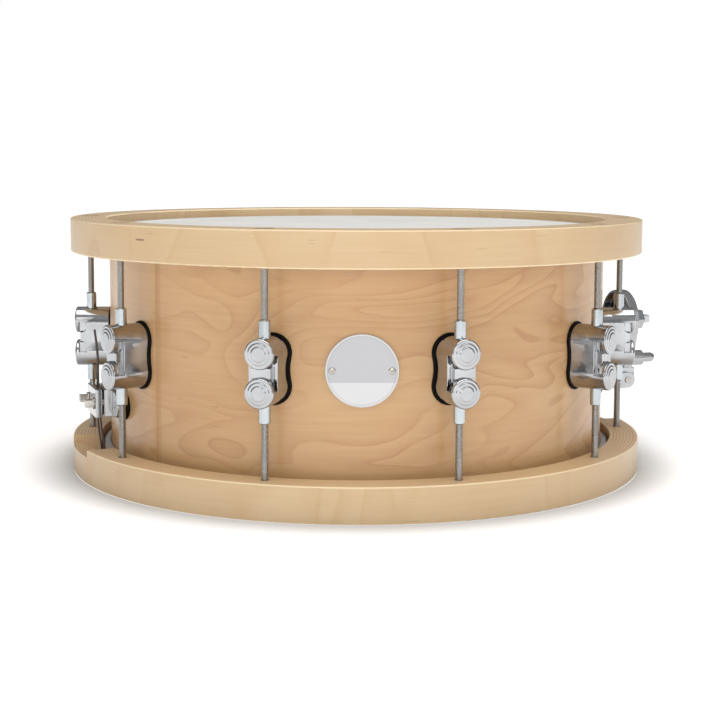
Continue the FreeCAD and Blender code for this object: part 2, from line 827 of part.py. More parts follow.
def make_badge():
    r, thickness = d.shell_radius, d.badge_thickness
    face = r + thickness
    back = face - thickness * 3
    blank = cylinder("badge_blank", d.badge_radius, thickness * 3, (0, -back, middle), "out")
    rim = cut(
        "badge_rim",
        cylinder("badge_rim_outside", d.badge_radius, d.badge_rim_height, (0, -face, middle), "out"),
        cylinder(
            "badge_rim_inside",
            d.badge_radius - d.badge_rim,
            d.badge_rim_height,
            (0, -face, middle),
            "out",
        ),
    )
    solid = fuse("badge_solid", blank, rim)
    holes, screws = [], []
    for k, x in enumerate((-d.badge_screw_offset, d.badge_screw_offset)):
        start = (x, -(r - d.badge_screw_length), middle)
        length = d.badge_screw_length + thickness
        holes.append(cylinder(f"badge_hole_{k}", d.badge_screw_radius, length * 2, start, "out"))
        shaft = cylinder(f"badge_shaft_{k}", d.badge_screw_radius, length, start, "out")
        head = cone(
            f"badge_head_{k}",
            d.badge_screw_head,
            d.badge_screw_head * 0.75,
            d.badge_screw_head_height,
            (x, -face, middle),
            "out",
        )
        screws.append(fuse(f"badge_screw_{k}", shaft, head))
    node(on_shell("badge", cut("badge_holed", solid, *holes)), "badge")
    node(group("badge_screws", screws), "badge_screws")


def make_grommet():
    r, height = d.shell_radius, d.grommet_height
    inner = r - d.shell_wall
    barrel = cylinder("grommet_barrel", d.vent_radius, r + height - inner, (0, -inner, middle), "out")
    flange_blank = cylinder(
        "grommet_flange_blank", d.grommet_flange, height * 2, (0, -(r - height), middle), "out"
    )
    flange = on_shell("grommet_flange", flange_blank)
    bore = cylinder("grommet_bore", d.grommet_bore, r, (0, -inner, middle), "out")
    grommet = cut("grommet", fuse("grommet_blank", barrel, flange), bore)
    node(copy_at("grommet_placed", grommet, VENT_ANGLE), "vent_grommet")


# ---------------------------------------------------------------- strainer


def key_screw(name, x, start, face, height, depth):
    """A square-headed clamp screw that points outwards. Its collar rests on the clamp plate's face."""
    side = d.key_screw_square / 2
    collar_end = face + d.key_screw_collar_height
    return fuse(
        name,
        cylinder(f"{name}_shaft", d.key_screw_radius, face - start, (x, -start, height), "out"),
        cylinder(
            f"{name}_collar", d.key_screw_collar, d.key_screw_collar_height, (x, -face, height), "out"
        ),
        box(
            f"{name}_head",
            (x - side, x + side),
            (-(collar_end + depth), -collar_end),
            (height - side, height + side),
        ),
    )


def strainer_node(item, label):
    return node(copy_at(f"{item.Name}_placed", item, STRAINER_ANGLE), label)


def butt_node(item, label):
    return node(copy_at(f"{item.Name}_placed", item, BUTT_ANGLE), label)


def mount_hole(name, offset, reach, height):
    near, far = reach
    return cylinder(name, d.screw_radius, far - near, (offset, -near, height), "out")


def make_strainer_base():
    """A plate with two rails for the slider, and two ears that carry the lever's rivets."""
    z = (d.strainer_low, d.strainer_high)
    plate_face = gasket_face + d.strainer_plate
    parts = [radial_box("base_plate", d.strainer_half, (gasket_face, plate_face), z)]
    cuts = []
    for side in (-1, 1):
        tag = "left" if side < 0 else "right"
        rail_x = sorted((d.rail_inner * side, d.strainer_half * side), key=lambda s: s.number)
        parts.append(box(f"rail_{tag}", rail_x, (-d.rail_reach, -gasket_face), z))
        ear_low, ear_out = d.ear_inner * side, (d.ear_inner + d.ear_thickness) * side
        ear_x = sorted((ear_low, ear_out), key=lambda s: s.number)
        back = d.rail_reach - d.ear_radius
        ear_z = (d.pivot_height - d.ear_radius, d.pivot_height + d.ear_radius)
        parts.append(box(f"ear_{tag}", ear_x, (-d.pivot_reach, -back), ear_z))
        web_z = (d.pivot_height, d.ear_high)
        web_reach = d.cheek_back - d.ear_radius * 0.5
        parts.append(box(f"ear_web_{tag}", ear_x, (-web_reach, -back), web_z))
        at = (ear_x[0], -d.pivot_reach, d.pivot_height)
        parts.append(cylinder(f"ear_end_{tag}", d.ear_radius, d.ear_thickness, at, "side"))
        cuts.append(cylinder(f"ear_hole_{tag}", d.pivot_radius, d.ear_thickness, at, "side"))
    for end, height in (("low", d.strainer_mount_low), ("high", d.strainer_mount_high)):
        cuts.append(mount_hole(f"base_tap_{end}", as_size(0), (gasket_face, plate_face), height))
    strainer_node(cut("base_holed", fuse("base_solid", *parts), *cuts), "strainer_base")


def make_rivets():
    """The lever turns on two short rivets, one through each ear and cheek."""
    rivets = []
    length = d.ear_inner + d.ear_thickness - (d.cheek_outer - d.cheek_thickness)
    for side, tag in ((-1, "left"), (1, "right")):
        outer = (d.ear_inner + d.ear_thickness) * side
        inner = (d.cheek_outer - d.cheek_thickness) * side
        start = outer if side < 0 else inner
        at = (start, -d.pivot_reach, d.pivot_height)
        shaft = cylinder(f"rivet_{tag}", d.pivot_radius, length, at, "side")
        head_at = (outer - (0.8 if side < 0 else 0), -d.pivot_reach, d.pivot_height)
        head = cylinder(f"rivet_head_{tag}", d.pivot_radius * 1.35, 0.8, head_at, "side")
        rivets.append(fuse(f"rivet_{tag}_solid", shaft, head))
    strainer_node(group("rivets", rivets), "lever_rivets")


def crank_point():
    """Where the lever's crank pin is at rest, as a distance from the axis and a height."""
    angle = math.radians(DIMENSIONS["crank_angle"])
    reach = d.pivot_reach + d.crank * round(math.cos(angle), 6)
    height = d.pivot_height + d.crank * round(math.sin(angle), 6)
    return reach, height


def make_slider():
    """A block that slides in the rails, with an arm whose fork the lever's crank pin moves."""
    back = gasket_face + d.strainer_plate + d.slider_gap
    half = d.rail_inner - d.slider_gap
    pin_reach, pin_height = crank_point()
    arm_z = (pin_height - d.fork_half_height, pin_height + d.fork_half_height)
    root_back = d.rail_reach - d.ear_radius
    parts = [
        radial_box("slider_block", half, (back, d.slider_reach), (d.slider_low, d.slider_high)),
        radial_box("slider_arm_root", d.fork_half, (root_back, d.slider_reach), (arm_z[0], d.slider_low)),
        radial_box("slider_arm", d.fork_half, (root_back, d.fork_reach), arm_z),
    ]
    slot = radial_box(
        "fork_slot",
        d.fork_half * 1.5,
        (pin_reach - d.fork_slot_half, d.fork_reach + 1),
        (pin_height - d.fork_slot_half, pin_height + d.fork_slot_half),
    )
    cuts = [slot]
    for side, x in (("left", -d.slider_screw_offset), ("right", d.slider_screw_offset)):
        at = (x, -(d.slider_reach - d.screw_depth), d.slider_screw_height)
        cuts.append(cylinder(f"slider_tap_{side}", d.key_screw_radius, d.screw_depth, at, "out"))
    for end, height in (("low", d.strainer_mount_low), ("high", d.strainer_mount_high)):
        depth = (back, back + d.screw_depth)
        along = (height - d.relief_below, height + d.relief_above)
        cuts.append(radial_box(f"slider_relief_{end}", d.screw_head, depth, along))
    strainer_node(cut("slider", fuse("slider_solid", *parts), *cuts), "strainer_slider")


def lever_outline(sketch, inset, foot):
    """A round head that narrows along two tangent edges to a straight foot."""
    radius = (d.lever_head_radius - inset).number
    half = (d.lever_foot_half - inset).number
    drop = d.lever_head_height.number - as_size(foot).number
    distance = math.hypot(half, drop)
    # the direction from the head's centre to the point where the right edge touches it
    touch = math.atan2(-drop, half) + math.acos(radius / distance)
    centre_z = d.lever_head_height.number
    centre = FreeCAD.Vector(0, centre_z, 0)
    right = FreeCAD.Vector(radius * math.cos(touch), centre_z + radius * math.sin(touch), 0)
    left = FreeCAD.Vector(-right.x, right.y, 0)
    foot_right, foot_left = (FreeCAD.Vector(s * half, centre_z - drop, 0) for s in (1, -1))
    ring = Part.Circle(centre, UP, radius)
    head = sketch.addGeometry(Part.ArcOfCircle(ring, touch, math.pi - touch), False)
    edges = [
        sketch.addGeometry(Part.LineSegment(a, b), False)
        for a, b in ((left, foot_left), (foot_left, foot_right), (foot_right, right))
    ]
    hold(sketch, head, 3, 0, d.lever_head_height)
    size = d.lever_head_radius - inset
    held = sketch.addConstraint(Sketcher.Constraint("Radius", head, size.number))
    sketch.setExpression(f"Constraints[{held}]", size.text)
    sketch.addConstraint(Sketcher.Constraint("Tangent", head, 2, edges[0], 1))
    sketch.addConstraint(Sketcher.Constraint("Coincident", edges[0], 2, edges[1], 1))
    sketch.addConstraint(Sketcher.Constraint("Coincident", edges[1], 2, edges[2], 1))
    sketch.addConstraint(Sketcher.Constraint("Tangent", edges[2], 2, head, 1))
    hold(sketch, edges[1], 1, -(d.lever_foot_half - inset), as_size(foot))
    hold(sketch, edges[1], 2, d.lever_foot_half - inset, as_size(foot))


def make_lever():
    """A pressed lever, hollow at the back, with two cheeks that turn on the rivets."""
    body = new_body("lever_shell")
    back = d.lever_front - d.lever_depth
    outside = new_sketch(body, "lever_outside", "XZ_Plane", back)
    lever_outline(outside, as_size(0), d.lever_foot)
    pad(body, outside, d.lever_depth)
    inside = new_sketch(body, "lever_inside", "XZ_Plane", back)
    lever_outline(inside, d.lever_wall, d.lever_foot - 1)
    pocket = body.newObject("PartDesign::Pocket", "lever_hollow")
    pocket.Profile = inside
    pocket.setExpression("Length", (d.lever_depth - d.lever_wall).text)
    pocket.Reversed = True
    body.Tip = pocket
    parts, cuts = [body], []
    pin_reach, pin_height = crank_point()
    for side in (-1, 1):
        tag = "left" if side < 0 else "right"
        span = (d.cheek_outer * side, (d.cheek_outer - d.cheek_thickness) * side)
        x = sorted(span, key=lambda s: s.number)
        z = (d.pivot_height, d.cheek_high)
        plate = box(f"cheek_{tag}", x, (-(d.lever_front - d.lever_wall), -d.cheek_back), z)
        toe_reach = (-(pin_reach + d.crank_pin_radius * 1.6), -d.cheek_back)
        toe = box(f"cheek_toe_{tag}", x, toe_reach, (d.pivot_height, d.lever_foot))
        at = (x[0], -d.pivot_reach, d.pivot_height)
        parts += [plate, toe, cylinder(f"cheek_end_{tag}", d.cheek_radius, d.cheek_thickness, at, "side")]
        bore = d.pivot_radius + d.pivot_clearance
        cuts.append(cylinder(f"cheek_hole_{tag}", bore, d.cheek_thickness, at, "side"))
        pin_at = (x[0], -pin_reach, pin_height)
        cuts.append(cylinder(f"crank_hole_{tag}", d.crank_pin_radius, d.cheek_thickness, pin_at, "side"))
    for name, height in (("tension", d.lever_head_height), ("limit", d.limit_knob_height)):
        at = (0, -back, height)
        bore = d.knob_shaft_radius + d.knob_shaft_clearance
        cuts.append(cylinder(f"{name}_knob_hole", bore, d.lever_depth, at, "out"))
    strainer_node(cut("lever", fuse("lever_solid", *parts), *cuts), "strainer_lever")
    pin_length = d.cheek_outer * 2
    pin_at = (-d.cheek_outer, -pin_reach, pin_height)
    strainer_node(cylinder("crank_pin", d.crank_pin_radius, pin_length, pin_at, "side"), "lever_crank_pin")


def knob_shaft(name, height):
    """The shaft of a knob through the lever's face, kept in by a clip behind."""
    behind = d.lever_front - d.lever_wall - d.knob_gap
    shaft_start = behind - d.knob_clip
    length = d.lever_front + d.knob_gap - shaft_start
    return [
        cylinder(f"{name}_shaft", d.knob_shaft_radius, length, (0, -shaft_start, height), "out"),
        cylinder(f"{name}_clip", d.knob_clip_radius, d.knob_clip, (0, -shaft_start, height), "out"),
    ]


def make_knobs():
    start = d.lever_front + d.knob_gap
    height, hub_length = d.lever_head_height, d.tension_hub_length
    prism = doc.addObject("Part::Prism", "tension_hex")
    prism.Polygon = 6
    prism.setExpression("Circumradius", (d.tension_knob_flats / round(math.sqrt(3), 6)).text)
    prism.setExpression("Height", (d.tension_knob_length - hub_length).text)
    place(prism, (0, -(start + hub_length), height), "out")
    hub = cylinder("tension_hub", d.tension_knob_hub, hub_length, (0, -start, height), "out")
    side, key_at = d.tension_key_side / 2, start + d.tension_knob_length
    reach = (key_at, key_at + d.tension_key_length)
    key = radial_box("tension_key", side, reach, (height - side, height + side))
    strainer_node(fuse("tension_solid", prism, hub, key, *knob_shaft("tension", height)), "tension_knob")
    height = d.limit_knob_height
    grip = cylinder("limit_grip", d.limit_knob_radius, d.limit_knob_length, (0, -start, height), "out")
    tip_at = start + d.limit_knob_length
    tip = cylinder("limit_tip", d.limit_tip_radius, d.limit_tip_length, (0, -tip_at, height), "out")
    end = doc.addObject("Part::Sphere", "limit_end")
    end.setExpression("Radius", d.limit_tip_radius.text)
    place(end, (0, -(tip_at + d.limit_tip_length), height))
    strainer_node(fuse("limit_solid", grip, tip, end, *knob_shaft("limit", height)), "limit_knob")


def make_slider_clamp():
    """The plate that pinches the two snare cords against the slider, and its screws."""
    near = d.slider_reach + d.clamp_gap
    far = near + d.clamp_plate
    z = (d.slider_clamp_low, d.slider_clamp_high)
    plate = radial_box("slider_clamp_plate", d.slider_clamp_half, (near, far), z)
    holes, screws = [], []
    for side, x in (("left", -d.slider_screw_offset), ("right", d.slider_screw_offset)):
        at = (x, -near, d.slider_screw_height)
        holes.append(cylinder(f"slider_clamp_hole_{side}", d.key_screw_radius, d.clamp_plate, at, "out"))
        start = d.slider_reach - d.screw_depth + d.rod_gap
        height, depth = d.slider_screw_height, d.key_screw_collar_height
        screws.append(key_screw(f"slider_key_{side}", x, start, far, height, depth * 1.5))
    clamp = group("slider_clamp", [cut("slider_clamp_holed", plate, *holes), *screws])
    strainer_node(clamp, "strainer_cord_clamp")


# ---------------------------------------------------------------- butt plate and gaskets


def make_butt():
    """The fixed clamp at the snares' other end: a footed block, a pinching plate and two screws."""
    face = gasket_face + d.butt_plate
    foot = oval("butt_foot", d.butt_half, d.butt_half_height, (gasket_face, face), d.butt_height)
    z = (d.butt_height - d.butt_block_half_height, d.butt_height + d.butt_block_half_height)
    block = radial_box("butt_block", d.butt_block_half, (gasket_face, d.butt_block_reach), z)
    near = d.butt_block_reach + d.clamp_gap
    far = near + d.butt_clamp_plate
    z = (d.butt_clamp_low, d.butt_clamp_high)
    plate = radial_box("butt_clamp_blank", d.butt_clamp_half, (near, far), z)
    taps, holes, screws = [], [], []
    for side, x in (("left", -d.butt_screw_offset), ("right", d.butt_screw_offset)):
        start = d.butt_block_reach - d.screw_depth
        at = (x, -start, d.butt_screw_height)
        taps.append(cylinder(f"butt_tap_{side}", d.key_screw_radius, d.screw_depth, at, "out"))
        at = (x, -near, d.butt_screw_height)
        size = (d.key_screw_radius, d.butt_clamp_plate)
        holes.append(cylinder(f"butt_clamp_hole_{side}", *size, at, "out"))
        name = f"butt_key_{side}"
        length = d.key_screw_length - d.key_screw_collar_height
        screws.append(key_screw(name, x, start + d.rod_gap, far, d.butt_screw_height, length))
    for side, x in (("left", -d.butt_mount_offset), ("right", d.butt_mount_offset)):
        taps.append(mount_hole(f"butt_mount_{side}", x, (gasket_face, face), d.butt_height))
    butt_node(cut("butt_holed", fuse("butt_solid", foot, block), *taps), "butt_base")
    butt_node(cut("butt_clamp", plate, *holes), "butt_clamp_plate")
    butt_node(group("butt_keys", screws), "butt_clamp_screws")


def make_plate_gaskets():
    """The rubber under the strainer's base and under the butt plate."""
    near, far = d.shell_radius - d.gasket, gasket_face
    margin = d.gasket
    z = (d.strainer_low - margin, d.strainer_high + margin)
    pad_box = radial_box("strainer_pad", d.strainer_half + margin, (near, far), z)
    taps = [
        mount_hole(f"strainer_pad_hole_{end}", as_size(0), (near, far), height)
        for end, height in (("low", d.strainer_mount_low), ("high", d.strainer_mount_high))
    ]
    strainer_pad = on_shell("strainer_gasket", cut("strainer_pad_holed", pad_box, *taps))
    butt_pad = oval(
        "butt_pad", d.butt_half + margin, d.butt_half_height + margin, (near - 4, far), d.butt_height
    )
    taps = [
        mount_hole(f"butt_pad_hole_{side}", x, (near - 4, far), d.butt_height)
        for side, x in (("left", -d.butt_mount_offset), ("right", d.butt_mount_offset))
    ]
    butt_gasket = on_shell("butt_gasket", cut("butt_pad_holed", butt_pad, *taps))
    pads = [
        copy_at("strainer_gasket_placed", strainer_pad, STRAINER_ANGLE),
        copy_at("butt_gasket_placed", butt_gasket, BUTT_ANGLE),
    ]
    node(group("plate_gaskets", pads), "plate_gaskets")


# ---------------------------------------------------------------- snare wires and cords


def make_snare_wires():
    """Coiled strands soldered to a plate at each end. Each strand is a rod of the coil's diameter."""
    items = []
    half = d.strand_half_length
    for k in range(DIMENSIONS["strand_count"]):
        x = d.strand_pitch * (k - (DIMENSIONS["strand_count"] - 1) / 2)
        at = (x, half, d.strand_height)
        items.append(cylinder(f"strand_{k:02d}", d.strand_radius, half * 2, at, "out"))
    for sign, tag in ((-1, "far"), (1, "near")):
        reach = sorted((d.end_plate_start * -sign, d.end_plate_end * -sign), key=lambda s: s.number)
        low = d.strand_height - d.strand_radius
        z = (low - d.end_plate, low)
        items.append(box(f"end_plate_{tag}", (-d.end_plate_half, d.end_plate_half), reach, z))
    strainer_node(group("snare_wire_set", items), "snare_wires")


def cord_tube(name, points):
    """A round cord along straight runs joined by tangent arcs. Points are (x, reach, height)."""
    vectors = [FreeCAD.Vector(x, -reach, z) for x, reach, z in points]
    edges = []
    start = vectors[0]
    for before, corner, after in zip(vectors, vectors[1:], vectors[2:]):
        a, b = before - corner, after - corner
        turn = math.pi - a.getAngle(b)
        trim = 0.45 * min(a.Length, b.Length)
        radius = trim / math.tan(turn / 2)
        a.normalize()
        b.normalize()
        first, last = corner + a * trim, corner + b * trim
        bisector = (a + b).normalize()
        centre = corner + bisector * math.hypot(radius, trim)
        edges.append(Part.LineSegment(start, first).toShape())
        halfway = centre - bisector * radius
        edges.append(Part.Arc(first, halfway, last).toShape())
        start = last
        print(f"{name}: arc radius {radius:.1f}")
    edges.append(Part.LineSegment(start, vectors[-1]).toShape())
    path = Part.Wire(edges)
    tangent = vectors[1] - vectors[0]
    ring = Part.Wire([Part.Circle(vectors[0], tangent, d.cord_radius.number).toShape()])
    tube = path.makePipeShell([ring], True, False)
    section = math.pi * d.cord_radius.number**2
    if abs(tube.Volume / (section * path.Length) - 1) > 0.02:
        raise RuntimeError(f"{name} isn't a whole tube")
    item = doc.addObject("Part::Feature", name)
    item.Shape = tube
    return item


def make_cords():
    """Two cords at each side, from the clamp down through the hoop's gate to the snare wires' plate."""
    gate, low, plate = d.cord_gate_reach.number, d.cord_height.number, d.end_plate_end.number
    corner = d.cord_corner.number
    clamp = d.slider_reach.number + d.clamp_gap.number / 2
    x = d.cord_half_gap.number
    for sign, tag in ((-1, "left"), (1, "right")):
        points = [
            (sign * x, clamp, d.slider_clamp_high.number),
            (sign * x, clamp, d.slider_clamp_low.number - d.strainer_cord_lead.number),
            (sign * x, gate + d.strainer_cord_bow.number, d.strainer_cord_bend.number),
            (sign * x, gate, low + corner),
            (sign * x, gate - corner, low),
            (sign * x, plate - d.cord_grip.number, low),
        ]
        cord_tube(f"strainer_cord_{tag}", points)
    pair = [doc.getObject(f"strainer_cord_{tag}") for tag in ("left", "right")]
    strainer_node(group("strainer_cords", pair), "strainer_cord")
    clamp = d.butt_block_reach.number + d.clamp_gap.number / 2
    x, lead = d.butt_cord_half_gap.number, d.butt_cord_lead.number
    for sign, tag in ((-1, "left"), (1, "right")):
        # the two free tails lie together and lean to one side above the clamp
        twin, lean = sign * d.cord_tail_half_gap.number, d.cord_tail_lean.number
        exit_at = d.cord_exit_side.number + sign * d.cord_exit_half_gap.number
        points = [
            (d.cord_tail_side.number + twin, clamp + lean, d.cord_tail.number),
            (d.cord_bend_side.number + twin, clamp, d.cord_tail_bend.number),
            (exit_at, clamp, d.butt_clamp_high.number + lead),
            (sign * x, clamp, d.butt_clamp_low.number - d.butt_cord_drop.number),
            (sign * x, gate, d.hoop_depth.number - d.butt_cord_gate_drop.number),
            (sign * x, gate - d.butt_cord_gate_lean.number, low + corner),
            (sign * x, gate - corner, low),
            (sign * x, plate - d.cord_grip.number, low),
        ]
        cord_tube(f"butt_cord_{tag}", points)
    pair = [doc.getObject(f"butt_cord_{tag}") for tag in ("left", "right")]
    butt_node(group("butt_cords", pair), "butt_cord")


def save_nodes():
    """Checks every object, then writes each sub-part's solids to its own file."""
    doc.recompute()
    for item in doc.Objects:
        if "Invalid" in item.State or "Error" in item.State:
            raise RuntimeError(f"{item.Name} failed: {item.State}")
    os.makedirs("parts", exist_ok=True)
    for item in nodes:
        shape = item.Shape
        if shape.isNull() or not shape.isValid() or not shape.Solids:
            raise RuntimeError(f"{item.Label} has no valid shape")
    for item in nodes:
        solids = item.Shape.Solids
        whole = solids[0] if len(solids) == 1 else Part.Compound(solids)
        whole.exportStep(f"parts/{item.Label}.step")
        print(f"{item.Label}: {len(solids)} solids, {whole.Volume / 1000:.2f} cm3")
    print(f"{len(nodes)} nodes")


make_shell()
make_hoops()
make_heads()
make_lugs()
make_mount_screws()
make_badge()
make_grommet()
make_strainer_base()
make_rivets()
make_slider()
make_lever()
make_knobs()
make_slider_clamp()
make_butt()
make_plate_gaskets()
make_snare_wires()
make_cords()
save_nodes()
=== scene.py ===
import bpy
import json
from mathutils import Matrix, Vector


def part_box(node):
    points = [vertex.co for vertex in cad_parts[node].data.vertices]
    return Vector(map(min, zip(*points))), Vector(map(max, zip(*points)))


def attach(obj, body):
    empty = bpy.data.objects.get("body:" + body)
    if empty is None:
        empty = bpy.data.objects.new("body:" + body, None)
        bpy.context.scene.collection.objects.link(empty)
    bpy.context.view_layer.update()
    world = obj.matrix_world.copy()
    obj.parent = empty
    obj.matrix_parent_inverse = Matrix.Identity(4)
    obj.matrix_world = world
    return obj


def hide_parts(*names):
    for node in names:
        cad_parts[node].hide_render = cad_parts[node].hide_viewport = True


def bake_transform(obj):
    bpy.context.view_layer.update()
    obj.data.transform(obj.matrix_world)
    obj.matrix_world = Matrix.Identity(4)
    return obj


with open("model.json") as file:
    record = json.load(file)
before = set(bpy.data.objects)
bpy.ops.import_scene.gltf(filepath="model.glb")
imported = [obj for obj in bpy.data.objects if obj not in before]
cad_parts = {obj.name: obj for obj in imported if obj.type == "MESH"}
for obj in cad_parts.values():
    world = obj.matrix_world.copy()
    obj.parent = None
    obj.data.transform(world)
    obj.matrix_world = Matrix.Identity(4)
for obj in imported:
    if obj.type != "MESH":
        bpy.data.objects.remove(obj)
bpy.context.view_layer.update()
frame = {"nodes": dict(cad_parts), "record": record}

import json
import math

import bmesh
import bpy
from mathutils import Matrix, Vector

# The drum stands on z = 0 with its axis on the origin and its badge towards -Y. Angles round the
# drum are in degrees from -Y towards +X. Lengths are metres.
MM = 0.001
NODES = frame["nodes"]
SLOT = {entry["node"]: entry["material_slot"] for entry in frame["record"]["subparts"]}
BODY = {
    node: body for body, held in frame["record"]["behaviour"]["bodies"].items() for node in held
}


def middle_of(node):
    low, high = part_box(node)
    return (low + high) / 2


def outer_radius(node):
    low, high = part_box(node)
    return max(high[0], -low[0])


SHELL_RADIUS = outer_radius("shell")
HOOP_RADIUS = outer_radius("batter_hoop")
DRUM_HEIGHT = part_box("batter_hoop")[1][2]
BADGE_HEIGHT = middle_of("badge")[2]
ROD_CIRCLE = math.hypot(*middle_of("snare_tension_rod_01")[:2])
LUG_ANGLES = [18 + 36 * k for k in range(10)]
STRAINER_ANGLE = 108
BUTT_ANGLE = -72


def turned(degrees):
    """Turns a piece made at the front, facing -Y, to its angle round the drum."""
    return Matrix.Rotation(math.radians(degrees), 4, "Z")


# ---------------------------------------------------------------- camera, lights and floor

# the camera that sees the drum as the photograph does
CAMERA_DISTANCE = 1.0871
CAMERA_HEIGHT = 0.2219
CAMERA_PITCH = 0.0995
CAMERA_ROLL = 0.0037
DRUM_TURN = math.radians(1.215)
FOCAL_PIXELS = 1492.2
FRAME_PIXELS = 720
CENTRE_PIXELS = (356.2, 305.0)
SENSOR_MM = 36.0

# the studio's grey from straight down and the horizon (0) to straight up (1), and how bright it is
# at the camera's side and at the far side
WORLD_STOPS = [
    (0.0, 0.85), (0.09, 0.8), (0.17, 0.5), (0.24, 0.42), (0.34, 0.62), (0.6, 0.78), (1.0, 0.95),
]
WORLD_NEAR, WORLD_FAR = 0.6, 0.35

# the floor's glow and its grey, by distance from the drum's axis; both drop close to the drum, a
# painted contact shadow round its foot
FLOOR_GLOW = [(0.205, 0.0), (0.245, 0.38), (0.9, 0.72)]
FLOOR_GREY_AND_PAINTED_SHADOW = [(0.19, 0.5), (0.232, 0.95)]
FLOOR_RADIUS = 6.0
FLOOR_SEGMENTS = 192


def link(name, data):
    made = bpy.data.objects.new(name, data)
    bpy.context.scene.collection.objects.link(made)
    return made


def fill_ramp(ramp, stops):
    """Gives a colour ramp node its stops. A stop is (position, grey) or (position, (r, g, b))."""
    elements = ramp.color_ramp.elements
    while len(elements) < len(stops):
        elements.new(0.5)
    for element, (position, colour) in zip(elements, stops):
        element.position = position
        rgb = colour if isinstance(colour, tuple) else (colour,) * 3
        element.color = (*rgb, 1)


def make_camera():
    data = bpy.data.cameras.new("camera")
    camera = link("camera", data)
    data.sensor_width = SENSOR_MM
    data.lens = FOCAL_PIXELS / FRAME_PIXELS * SENSOR_MM
    data.shift_x = 0.5 - CENTRE_PIXELS[0] / FRAME_PIXELS
    data.shift_y = CENTRE_PIXELS[1] / FRAME_PIXELS - 0.5
    data.clip_start = 0.05
    turn = Matrix.Rotation(-DRUM_TURN, 4, "Z")
    stand = Matrix.Translation((0, -CAMERA_DISTANCE, CAMERA_HEIGHT))
    tilt = Matrix.Rotation(math.pi / 2 - CAMERA_PITCH, 4, "X")
    roll = Matrix.Rotation(CAMERA_ROLL, 4, "Z")
    camera.matrix_world = turn @ stand @ tilt @ roll
    bpy.context.scene.camera = camera


def area_light(name, place, target, size, power, colour=(1, 1, 1)):
    data = bpy.data.lights.new(name, "AREA")
    data.shape = "RECTANGLE"
    data.size, data.size_y = size
    data.energy = power
    data.color = colour
    light = link(name, data)
    light.location = place
    direction = Vector(target) - Vector(place)
    light.rotation_euler = direction.to_track_quat("-Z", "Y").to_euler()


def make_world():
    """White where the camera sees it, and a pale grey studio with a darker band elsewhere."""
    world = bpy.data.worlds.new("studio")
    bpy.context.scene.world = world
    world.use_nodes = True
    nodes, links = world.node_tree.nodes, world.node_tree.links
    seen = nodes["Background"]
    seen.inputs["Color"].default_value = (1, 1, 1, 1)
    seen.inputs["Strength"].default_value = 1.0
    studio = nodes.new("ShaderNodeBackground")
    split = nodes.new("ShaderNodeSeparateXYZ")
    links.new(nodes.new("ShaderNodeTexCoord").outputs["Generated"], split.inputs[0])
    ramp = nodes.new("ShaderNodeValToRGB")
    fill_ramp(ramp, WORLD_STOPS)
    links.new(split.outputs["Z"], ramp.inputs[0])
    links.new(ramp.outputs[0], studio.inputs["Color"])
    # the room falls off from the side that the camera stands on to the far side
    fall = nodes.new("ShaderNodeMapRange")
    fall.inputs["From Min"].default_value = -1.0
    fall.inputs["From Max"].default_value = 1.0
    fall.inputs["To Min"].default_value = WORLD_NEAR
    fall.inputs["To Max"].default_value = WORLD_FAR
    links.new(split.outputs["Y"], fall.inputs["Value"])
    links.new(fall.outputs[0], studio.inputs["Strength"])
    mix = nodes.new("ShaderNodeMixShader")
    links.new(nodes.new("ShaderNodeLightPath").outputs["Is Camera Ray"], mix.inputs[0])
    links.new(studio.outputs[0], mix.inputs[1])
    links.new(seen.outputs[0], mix.inputs[2])
    links.new(mix.outputs[0], nodes["World Output"].inputs["Surface"])


def make_lights():
    area_light("top_soft", (0.1, -0.35, 1.5), (0, 0, 0.1), (1.5, 1.3), 14.0)
    area_light("front_left", (-1.25, -1.35, 0.75), (0, 0, 0.1), (0.7, 1.1), 1.3)
    area_light("front_right", (1.35, -1.15, 0.75), (0, 0, 0.1), (0.6, 1.1), 1.1)
    area_light("front_soft", (0.0, -1.9, 0.62), (0, 0, 0.09), (1.1, 0.8), 6.4)


